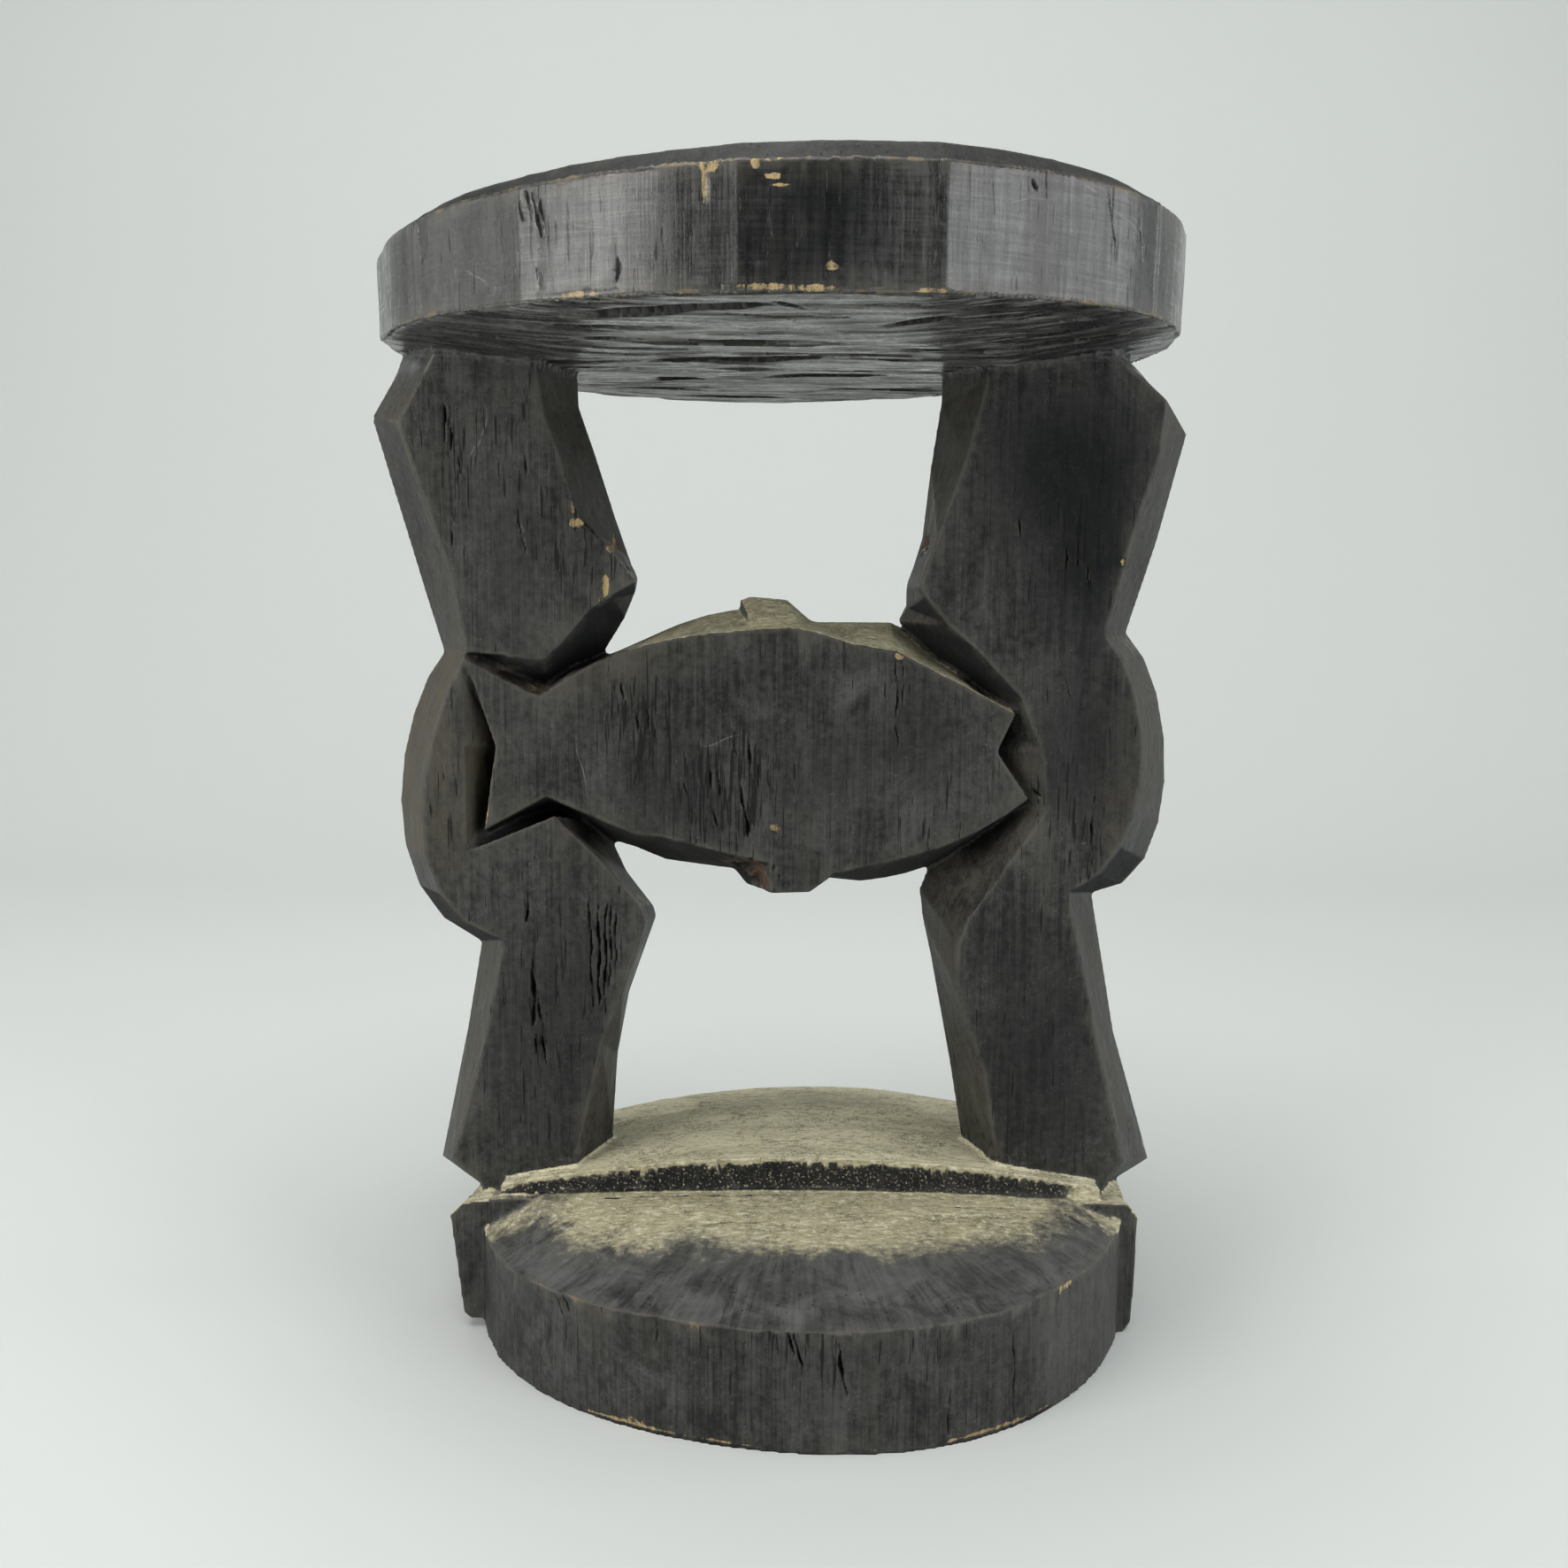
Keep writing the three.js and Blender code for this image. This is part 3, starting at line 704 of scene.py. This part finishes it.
def spots(areas, rows, low, high):
    # soft spots on the surfaces, fading out between two reaches
    amount = 0
    for surface, cu, cv, reachU, reachV, much in rows:
        inside, u, v = areas[surface]
        far = np.hypot((u - cu) / reachU, (v - cv) / reachV)
        amount = np.maximum(amount, inside * much * ramp(-far, -low, -high))
    return amount


def markScratches(piece, areas):
    # signed distance across the nearest scratch, and how near its length is
    off = np.full(len(piece.data.vertices), 6.0)
    near = np.zeros(len(off))
    for surface, cu, cv, length, lean in scratches:
        inside, u, v = areas[surface]
        lean = math.radians(lean)
        along = (v - cv) * math.cos(lean) + (u - cu) * math.sin(lean)
        across = (u - cu) * math.cos(lean) - (v - cv) * math.sin(lean) + 0.5 * np.sin(along * 0.35)
        own = inside & (np.abs(across) < 6) & (np.abs(across) < np.abs(off))
        ends = ramp(-np.abs(along), -length / 2 - 1, -length / 2 + 2)
        off[own] = across[own]
        near[own] = (ends * ramp(-np.abs(across), -5, -2.5))[own]
    mark(piece, "scratchOff", off)
    mark(piece, "scratchNear", near)


def paintRecessShade(piece, x, y, z):
    rounds = [ramp(-np.hypot((x - cx) / reachX, (z - cz) / reachZ), -1.3, -0.8)
              for cx, cz, reachX, reachZ in shadedHollows]
    shaded = ramp(y, -22.5, -17) * (y < 0) * (x > -112) * np.maximum.reduce(rounds)
    # a narrow painted shadow lies along the tail, where the facet beside it meets the fish
    below = tailEdge["x"] - (tailEdge["z"] - z) * tailEdge["below"]
    above = tailEdge["x"] - (z - tailEdge["z"]) * tailEdge["above"]
    tail = np.where(z < tailEdge["z"], below, above)
    seen = x * eye["front"] / (eye["far"] + y)
    tailShadow = ramp(seen, tail - 2.6, tail - 1.2)
    tailShadow = tailShadow * between(y, -28.5, 0) * (x < -105) * between(z, tailEdge["low"], tailEdge["high"])
    mark(piece, "recess", np.maximum(shaded, tailShadow))


def markTones(piece):
    points, normals = readSkin(piece)
    areas = surfaces(points, normals)
    x, y, z = points.T
    ny, nz = normals[:, 1], normals[:, 2]
    tones = {name: spots(areas, rows, 1.2, 0.2) for name, rows in blots.items()}
    mark(piece, "powder", tones["powder"])
    checked = np.maximum(fewChecks, spots(areas, checks, 1.1, 0.3))
    mark(piece, "checked", checked * (between(z, form["slabFrom"], form["slabTo"]) | (np.abs(nz) < 0.55)))
    markScratches(piece, areas)
    paintRecessShade(piece, x, y, z)
    seatX, seatY = fromSeatCentre(x, y)
    turned = np.abs(np.degrees(np.arctan2(seatX, -seatY)))
    gloss = 1 - 0.45 * ramp(turned, 95, 130)   # the far side of the rim is duller
    mark(piece, "polish", ramp(z, form["seatFrom"], 364) * (1 - areas["seatTop"][0]) * gloss)
    mark(piece, "turn", np.arctan2(x, -y) * form["footRadius"] * 0.001)
    mark(piece, "reach", np.hypot(x, y) * 0.001)
    mark(piece, "top", areas["footTop"][0] * (y < -41) * 1.0)
    # painted reflection: pale streaks on the underside between the legs, fading beyond them where the
    # underside lies in shade
    mark(piece, "under", areas["underside"][0] * (1 - 0.7 * ramp(np.abs(x + 10), 72, 96)))
    # brown on the bevels, most on the left hump; beside the tail the brown is painted light lifting the
    # facet's shade; painted shade, black, on what faces down
    slab = between(z, 66, 358) * (np.abs(y) < form["slabHalf"])
    bevels = slab * ramp(-np.abs(ny), -0.93, -0.75) * ramp(nz, -0.35, -0.05)
    hump = bevels * (0.35 + 0.65 * ramp(-x, 100, 130) * between(z, 150, 262))
    # painted light: brown lifts the shaded facet beside the tail
    litFacet = between(y, -28.5, 0) * between(x, -128, -105) * between(z, 184, 252) * (np.abs(ny) < 0.93)
    mark(piece, "brown", np.maximum.reduce([hump, tones["tan"], litFacet * 1.0]))
    mark(piece, "deep", np.maximum(tones["deep"], slab * ramp(-nz, 0.25, 0.55)))


# dust lies on the foot, thickest beside the step and on the ridge, and thinly on upward faces of the fish
dusting = {
    "centre": (4, -38), "reach": (150, 54), "coarse": ((17, 13, 30), 21), "fine": ((7, 6, 12), 22),
    "ends": 0.48, "ground": 0.10, "step": 0.20, "stepEnd": 0.40, "tabs": 0.62,
    "tail": 0.36, "fish": 0.24, "litFacet": 0.24, "legs": 0.24,
}
crestBins = {"from": -130, "width": 3, "count": 87, "smooth": 7}


def crestOfStep(x, z, step):
    # height of the step's top edge at each point, smoothed along it
    bins = np.clip(((x - crestBins["from"]) / crestBins["width"]).astype(int), 0, crestBins["count"] - 1)
    crest = np.zeros(crestBins["count"])
    np.maximum.at(crest, bins[step], z[step])
    wide = crestBins["smooth"]
    crest = np.convolve(np.pad(crest, wide // 2, mode="edge"), np.ones(wide) / wide, mode="valid")
    return crest[bins]


def markDust(piece):
    points, normals = readSkin(piece)
    x, y, z = points.T
    nz = normals[:, 2]
    up = ramp(nz, 0.25, 0.8)
    out = np.abs(x)
    wave = softNoise(points, *dusting["coarse"]) + 0.5 * softNoise(points, *dusting["fine"])
    reach = np.hypot((x - dusting["centre"][0]) / dusting["reach"][0],
                     (y - dusting["centre"][1]) / dusting["reach"][1])
    front = (y < -37) * np.clip(1.25 - reach + 0.10 * wave, 0, 1.0) * (1 - 0.35 * ramp(out, 80, 105))
    front = np.maximum(front, (y < -37) * ramp(y, -66, -50) * ramp(out, 70, 95) * dusting["ends"])
    ridge = (y >= -39) * (1 - 0.58 * ramp(out, 102, 116))
    ground = dusting["ground"] * (1 + ramp(out, 50, 95))
    foot = between(z, 20, 72) * up * np.maximum.reduce([front, ridge, ground])
    step = between(z, 50, 68) & between(y, -41, -35.5)
    crest = crestOfStep(x, z, step)
    foot = np.where(step & (z > 53), ramp(z, crest - 2.6, crest - 0.4), foot)
    riser = step * (dusting["step"] + dusting["stepEnd"] * ramp(x, 96, 106))
    tabs = between(z, 24, 62) * (y < 0) * (out > 118) * ramp(nz, 0.05, 0.4) * dusting["tabs"]
    fish = between(z, 150, 300) * up * (dusting["tail"] + dusting["fish"] * ramp(x, -80, -50))
    # painted light: dust colour makes the facet beside the tail paler than its shade would leave it
    litFacet = between(y, -26, 0) * between(x, -123, -112) * between(z, 188, 250) * dusting["litFacet"]
    legs = between(z, 62, 90) * (np.abs(y) < form["slabHalf"]) * ramp(-z, -84, -62) * dusting["legs"]
    mark(piece, "step", step * 1.0)
    mark(piece, "ridge", (y >= -39) * (z < 72) * up)
    mark(piece, "dust", np.clip(np.maximum.reduce([foot, riser, tabs, fish, legs, litFacet]), 0, 1))


markTones(stool)
markDust(stool)
print("tones and dust marked")


thinning = {"fineWeight": 0.5, "marked": ("bare", "split", "scratchNear"), "from": 0.3, "stepReach": 4}


def thin(piece):
    # flakes, splits and the step keep their fine skin, the rest is thinned
    points, normals = readSkin(piece)
    x, y, z = points.T
    fine = (np.abs(y - form["stepY"]) < thinning["stepReach"]) & between(z, 44, 72) & (np.abs(x) < 125)
    for name in thinning["marked"]:
        values = np.empty(len(points), dtype=np.float32)
        piece.data.attributes[name].data.foreach_get("value", values)
        fine |= values > thinning["from"]
    freely = piece.vertex_groups.new(name="thinFreely")
    freely.add(np.where(~fine)[0].tolist(), 1.0, "REPLACE")
    freely.add(np.where(fine)[0].tolist(), thinning["fineWeight"], "REPLACE")
    triangles = sum(len(face.vertices) - 2 for face in piece.data.polygons)
    fewer = piece.modifiers.new("thin", "DECIMATE")
    fewer.ratio = min(1, skin["mostTriangles"] / triangles)
    fewer.use_collapse_triangulate = True
    fewer.vertex_group = freely.name
    applyAll(piece)
    piece.vertex_groups.clear()
    pick(piece)
    bpy.ops.object.shade_smooth()
    shading = piece.modifiers.new("shading", "WEIGHTED_NORMAL")
    shading.weight = 50
    applyAll(piece)


thin(stool)
print("stool thinned to", len(stool.data.polygons), "triangles")


# the darkest colour also paints shade in hollows and along ledge walls; the pale grey for the underside is a
# painted reflection; the palest dust is partly painted light
woodLook = {
    "black": (0.0042, 0.0043, 0.0043), "worn": (0.056, 0.0555, 0.050), "deep": (0.0045, 0.005, 0.006),
    "brown": (0.040, 0.034, 0.025), "powder": (0.085, 0.085, 0.082), "edge": (0.085, 0.080, 0.066),
    "bevel": (0.072, 0.061, 0.039), "ochre": (0.24, 0.175, 0.092), "bareWood": (0.46, 0.345, 0.175),
    "redWood": (0.10, 0.055, 0.035), "splitAndShadeDark": (0.002, 0.002, 0.002), "scratch": (0.15, 0.15, 0.145),
    "underSheen": (0.23, 0.23, 0.22),
    "dust": (0.46, 0.42, 0.27), "dustPaleAndLit": (0.84, 0.78, 0.54), "dustDark": (0.17, 0.15, 0.095),
    "dustFleck": (0.72, 0.69, 0.53), "dustThin": (0.10, 0.098, 0.085),
    "roughSeat": (0.20, 0.34), "roughSlab": (0.40, 0.74),
    "roughDust": 0.92, "roughBare": 0.85, "roughDeep": 0.96,
    "specular": 0.34, "coatRough": 0.24, "bump": 0.55, "bumpReach": 0.0007,
}
# patterns in the wood and the dust: stretch, scale, detail, roughness, distortion, turn
grains = {
    "hair": ((1, 1, 0.025), 1300, 3, 0.6),           # hair-fine fibres up the log
    "fibre": ((1, 1, 0.05), 330, 5, 0.62),
    "streak": ((1, 1, 0.13), 70, 4, 0.6),
    "cloud": ((1, 1, 0.75), 15, 5, 0.6, 0.5),
    "mottle": ((1, 1, 0.7), 55, 7, 0.7, 0.9),
    "slit": ((1, 1, 0.07), 850, 2.5, 0.5, 0.35),     # short dry checks
    "level": ((0.05, 0.05, 1), 900, 3, 0.6),         # strokes round the rim
    "slant": ((1, 1, 0.05), 1500, 1, 0.5, 0.0, (0.0, 0.9, 0.4)),
    "speck": ((1, 1, 1), 1000, 3, 0.6),
    "crumb": ((1, 1, 1), 330, 5, 0.7),
    "groove": ((0.06, 1, 1), 130, 6, 0.62),          # tool marks across the underside
    "furrow": ((0.05, 1, 1), 420, 4, 0.6, 0.3),
    "chaff": ((0.45, 1, 1), 620, 3, 0.65, 0.4),      # flecks in the dust
}
spokePattern = {"squeeze": 0.08, "noise": ((1, 1, 1), 420, 5, 0.65, 0.8)}
marks = ["edge", "rubbed", "split", "bare", "reddish", "powder", "deep", "brown", "checked", "recess", "wall",
         "scratchOff", "scratchNear", "polish", "under", "top", "turn", "reach", "step", "ridge", "dust"]


class Nodes:
    def __init__(self, tree):
        self.tree = tree

    def add(self, kind, inputs=None, **settings):
        node = self.tree.nodes.new(kind)
        for key, value in settings.items():
            setattr(node, key, value)
        for key, value in (inputs or {}).items():
            self.feed(node.inputs[key], value)
        return node

    def feed(self, socket, value):
        if isinstance(value, bpy.types.NodeSocket):
            self.tree.links.new(value, socket)
        elif isinstance(value, tuple) and len(value) == 3 and socket.type == "RGBA":
            socket.default_value = (*value, 1)
        else:
            socket.default_value = value

    def noise(self, coordinate, stretch, scale, detail=4.0, rough=0.6, distortion=0.0, turn=(0, 0, 0)):
        mapping = self.add("ShaderNodeMapping", {"Vector": coordinate, "Scale": stretch, "Rotation": turn})
        return self.add("ShaderNodeTexNoise", {"Vector": mapping.outputs[0], "Scale": scale, "Detail": detail,
                                               "Roughness": rough, "Distortion": distortion}).outputs["Fac"]

    def range(self, value, low, high, toLow=0.0, toHigh=1.0):
        return self.add("ShaderNodeMapRange", {"Value": value, "From Min": low, "From Max": high,
                                               "To Min": toLow, "To Max": toHigh}, clamp=True).outputs[0]

    def maths(self, operation, a, b=0.0):
        return self.add("ShaderNodeMath", {0: a, 1: b}, operation=operation).outputs[0]

    def times(self, *values):
        result = values[0]
        for value in values[1:]:
            result = self.maths("MULTIPLY", result, value)
        return result

    def plus(self, *values):
        result = values[0]
        for value in values[1:]:
            result = self.maths("ADD", result, value)
        return result

    def blend(self, *parts):
        # the sum of values, each with its share
        return self.plus(*[self.times(value, share) for value, share in parts])

    def most(self, *values):
        result = values[0]
        for value in values[1:]:
            result = self.maths("MAXIMUM", result, value)
        return result

    def fade(self, value, low):
        # falls from 1 to low as the value rises to 1
        return self.range(value, 0, 1, 1, low)

    def mix(self, fac, a, b):
        node = self.add("ShaderNodeMix", data_type="RGBA")
        self.feed(node.inputs[0], fac)
        self.feed(node.inputs[6], a)
        self.feed(node.inputs[7], b)
        return node.outputs[2]

    def mixValue(self, fac, a, b):
        return self.add("ShaderNodeMix", {0: fac, 2: a, 3: b}).outputs[0]

    def attribute(self, name):
        return self.add("ShaderNodeAttribute", attribute_name=name).outputs["Fac"]


def patterns(n, mask):
    place = n.add("ShaderNodeTexCoord").outputs["Object"]
    grain = SimpleNamespace(**{name: n.noise(place, *look) for name, look in grains.items()})
    # lines that run out from the middle of the foot
    squeezed = n.times(mask.reach, spokePattern["squeeze"])
    polar = n.add("ShaderNodeCombineXYZ", {"X": mask.turn, "Y": squeezed}).outputs[0]
    grain.spoke = n.noise(polar, *spokePattern["noise"])
    grain.weave = n.blend((grain.level, 0.3), (grain.fibre, 0.38), (grain.mottle, 0.32))
    return grain


def blackTone(n, grain, mask):
    tone = n.blend((grain.fibre, 0.15), (grain.hair, 0.19), (grain.cloud, 0.26), (grain.mottle, 0.12),
                   (grain.crumb, 0.28))
    colour = n.mix(n.range(tone, 0.44, 0.58), woodLook["black"], woodLook["worn"])
    colour = n.mix(n.range(grain.streak, 0.55, 0.72, 0, 0.4), colour, woodLook["brown"])
    # deep black: darker, duller patches, and painted shade on the slab's downward faces and on the underside
    # beyond the legs
    colour = n.mix(n.times(mask.deep, n.range(grain.mottle, 0.35, 0.55, 0.5, 0.95)), colour, woodLook["deep"])
    bloom = n.times(mask.powder, n.range(grain.mottle, 0.44, 0.62))
    anywhere = n.times(n.range(grain.mottle, 0.53, 0.72, 0, 0.6), n.fade(mask.deep, 0.2))
    fine = n.range(n.blend((grain.hair, 0.5), (grain.speck, 0.5)), 0.38, 0.58, 0.35, 1)
    colour = n.mix(n.times(n.most(bloom, anywhere), fine), colour, woodLook["powder"])
    flecks = n.times(n.range(grain.speck, 0.62, 0.70), n.range(grain.mottle, 0.42, 0.6))
    flecks = n.times(flecks, n.fade(mask.deep, 0.3))
    scuffed = n.range(n.blend((grain.spoke, 0.5), (grain.mottle, 0.5)), 0.36, 0.60, 0.12, 0.95)
    colour = n.mix(n.most(flecks, n.times(mask.top, scuffed)), colour, woodLook["powder"])
    spokes = n.range(n.blend((grain.spoke, 0.3), (grain.mottle, 0.7)), 0.46, 0.62, 0, 0.5)
    colour = n.mix(n.times(mask.top, spokes), colour, woodLook["scratch"])
    return n.mix(n.times(mask.brown, n.range(grain.mottle, 0.38, 0.6, 0.25, 0.9)), colour, woodLook["bevel"])


def scratchedTone(n, grain, mask, colour):
    line = n.range(n.maths("ABSOLUTE", mask.scratchOff), 0.08, 0.32, 0.8, 0)
    scratch = n.times(mask.scratchNear, line, n.range(grain.mottle, 0.4, 0.55, 0.2, 1))
    hatch = n.times(mask.polish, n.range(grain.slant, 0.64, 0.74, 0, 0.4), n.fade(mask.deep, 0.2))
    handled = n.times(mask.polish, n.range(grain.weave, 0.48, 0.60, 0, 0.75), n.fade(mask.deep, 0.1))
    colour = n.mix(handled, colour, woodLook["powder"])
    colour = n.mix(n.most(scratch, hatch), colour, woodLook["scratch"])
    # painted reflection: pale streaks across the underside between the legs
    return n.mix(n.times(mask.under, n.range(grain.furrow, 0.50, 0.62)), colour, woodLook["underSheen"])


def wornTone(n, grain, mask, colour):
    # worn edges turn grey, and show ochre wood where the black has rubbed away
    colour = n.mix(n.times(mask.edge, n.range(grain.mottle, 0.36, 0.6, 0.15, 0.85)), colour, woodLook["edge"])
    ochre = n.range(n.plus(mask.rubbed, n.times(grain.mottle, 2.4)), 2.20, 2.38)
    colour = n.mix(n.times(ochre, mask.rubbed, 0.5), colour, woodLook["ochre"])
    return n.mix(n.range(mask.reddish, 0.3, 0.8, 0, 0.9), colour, woodLook["redWood"])


def flakeTone(n, grain):
    wood = n.mix(n.range(grain.fibre, 0.40, 0.62), woodLook["ochre"], woodLook["bareWood"])
    stain = n.range(n.blend((grain.speck, 0.5), (grain.fibre, 0.5)), 0.38, 0.50)
    return n.mix(stain, woodLook["brown"], wood)


def dustTone(n, grain, mask):
    # khaki with dark pits and pale flecks
    # on the ridge under the seat the dust is paler, partly real and partly painted light lifting the seat's
    # shade
    ridgePaleAndLit = n.times(mask.ridge, n.range(grain.cloud, 0.38, 0.6, 0.5, 1))
    tone = n.mix(ridgePaleAndLit, woodLook["dust"], woodLook["dustPaleAndLit"])
    pits = n.range(n.blend((grain.speck, 0.5), (grain.mottle, 0.5)), 0.36, 0.50)
    tone = n.mix(pits, woodLook["dustDark"], tone)
    tone = n.mix(n.range(grain.groove, 0.50, 0.70, 0, 0.35), tone, woodLook["dustDark"])
    tone = n.mix(n.times(mask.ridge, n.range(grain.cloud, 0.52, 0.64, 0, 0.45)), tone, woodLook["dustDark"])
    tone = n.mix(n.range(grain.groove, 0.30, 0.42, 0.35, 0), tone, woodLook["dustFleck"])
    tone = n.mix(n.range(grain.crumb, 0.60, 0.68, 0, 0.85), tone, woodLook["dustFleck"])
    tone = n.mix(n.range(grain.chaff, 0.36, 0.45, 0.6, 0), tone, woodLook["dustDark"])
    return n.mix(n.range(grain.chaff, 0.55, 0.64, 0, 0.75), tone, woodLook["dustFleck"])


def covers(n, grain, mask):
    # how far each layer over the black reaches
    patchy = n.plus(mask.dust, n.times(grain.crumb, 0.5), n.times(grain.mottle, 0.5))
    check = n.range(n.plus(grain.slit, n.times(mask.checked, 0.12)), 0.68, 0.72)
    check = n.times(check, n.range(mask.dust, 0.2, 0.4, 1, 0))
    # painted shade along the walls of torn ledges under the seat
    wall = n.range(n.plus(mask.wall, n.times(grain.furrow, 0.5)), 0.62, 0.92, 0, 0.95)
    return SimpleNamespace(
        flake=n.range(n.plus(mask.bare, n.times(grain.crumb, 1.1), n.times(grain.fibre, 0.5)), 1.26, 1.38),
        thinDust=n.times(n.range(patchy, 0.70, 1.05, 0, 0.8), n.range(mask.dust, 0.02, 0.15)),
        dust=n.times(n.range(patchy, 0.86, 1.06), n.range(mask.dust, 0.2, 0.45)),
        check=check,
        dark=n.most(mask.split, n.times(check, 0.9), wall),
    )


def roughness(n, grain, mask, cover):
    low = n.mixValue(mask.polish, woodLook["roughSlab"][0], woodLook["roughSeat"][0])
    high = n.mixValue(mask.polish, woodLook["roughSlab"][1], woodLook["roughSeat"][1])
    rough = n.mixValue(n.range(n.blend((grain.mottle, 0.6), (grain.fibre, 0.4)), 0.38, 0.62), low, high)
    rough = n.plus(rough, n.times(mask.polish, n.range(grain.weave, 0.40, 0.60, -0.05, 0.12)))
    dull = n.times(mask.deep, n.maths("SUBTRACT", 1.0, mask.polish), woodLook["roughDeep"])
    dusty = n.times(n.most(cover.thinDust, cover.dust), woodLook["roughDust"])
    bare = n.times(n.most(cover.flake, cover.dark), woodLook["roughBare"])
    return n.most(rough, dull, dusty, bare)


def relief(n, grain, mask, cover):
    height = n.blend((grain.fibre, 0.3), (grain.hair, 0.3), (grain.mottle, 0.6), (grain.crumb, 0.45),
                     (cover.check, -0.5))
    height = n.plus(height, n.times(grain.spoke, mask.top, 0.3), n.times(grain.level, mask.polish, 0.45))
    height = n.plus(height, n.times(grain.groove, mask.under, 6.5), n.times(grain.furrow, mask.under, 1.4))
    grit = n.blend((grain.speck, 0.8), (grain.crumb, 1.2))
    height = n.plus(height, n.times(cover.dust, grit), n.times(cover.flake, grain.crumb))
    bump = n.add("ShaderNodeBump", {"Height": height, "Strength": woodLook["bump"],
                                    "Distance": woodLook["bumpReach"]})
    return bump.outputs[0]


def blackenedWood():
    material = bpy.data.materials.new("blackenedWood")
    material.use_nodes = True
    shader = material.node_tree.nodes["Principled BSDF"]
    n = Nodes(material.node_tree)
    mask = SimpleNamespace(**{name: n.attribute(name) for name in marks})
    grain = patterns(n, mask)
    cover = covers(n, grain, mask)
    colour = blackTone(n, grain, mask)
    colour = scratchedTone(n, grain, mask, colour)
    colour = wornTone(n, grain, mask, colour)
    colour = n.mix(cover.flake, colour, flakeTone(n, grain))
    colour = n.mix(cover.thinDust, colour, woodLook["dustThin"])
    colour = n.mix(cover.dust, colour, dustTone(n, grain, mask))
    colour = n.mix(n.times(mask.step, n.range(grain.speck, 0.58, 0.68, 0, 0.8)), colour, woodLook["dust"])
    # painted shade in the hollows round tail and mouth, and a painted shadow along the tail
    colour = n.mix(n.times(mask.recess, 0.9), colour, woodLook["splitAndShadeDark"])
    # splits and checks black; along the ledge walls under the seat the black is painted shade
    colour = n.mix(cover.dark, colour, woodLook["splitAndShadeDark"])
    n.feed(shader.inputs["Base Color"], colour)
    n.feed(shader.inputs["Roughness"], roughness(n, grain, mask, cover))
    n.feed(shader.inputs["Normal"], relief(n, grain, mask, cover))
    # only the seat's rim is polished, in patches
    patches = n.range(grain.weave, 0.40, 0.60, 1.0, 0.1)
    n.feed(shader.inputs["Coat Weight"], n.times(mask.polish, patches, n.fade(mask.deep, 0.3)))
    shader.inputs["Coat Roughness"].default_value = woodLook["coatRough"]
    shader.inputs["Specular IOR Level"].default_value = woodLook["specular"]
    return material


stool.data.materials.clear()
stool.data.materials.append(blackenedWood())
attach(stool, "root")
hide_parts("carved_stool")
print("finish put on")
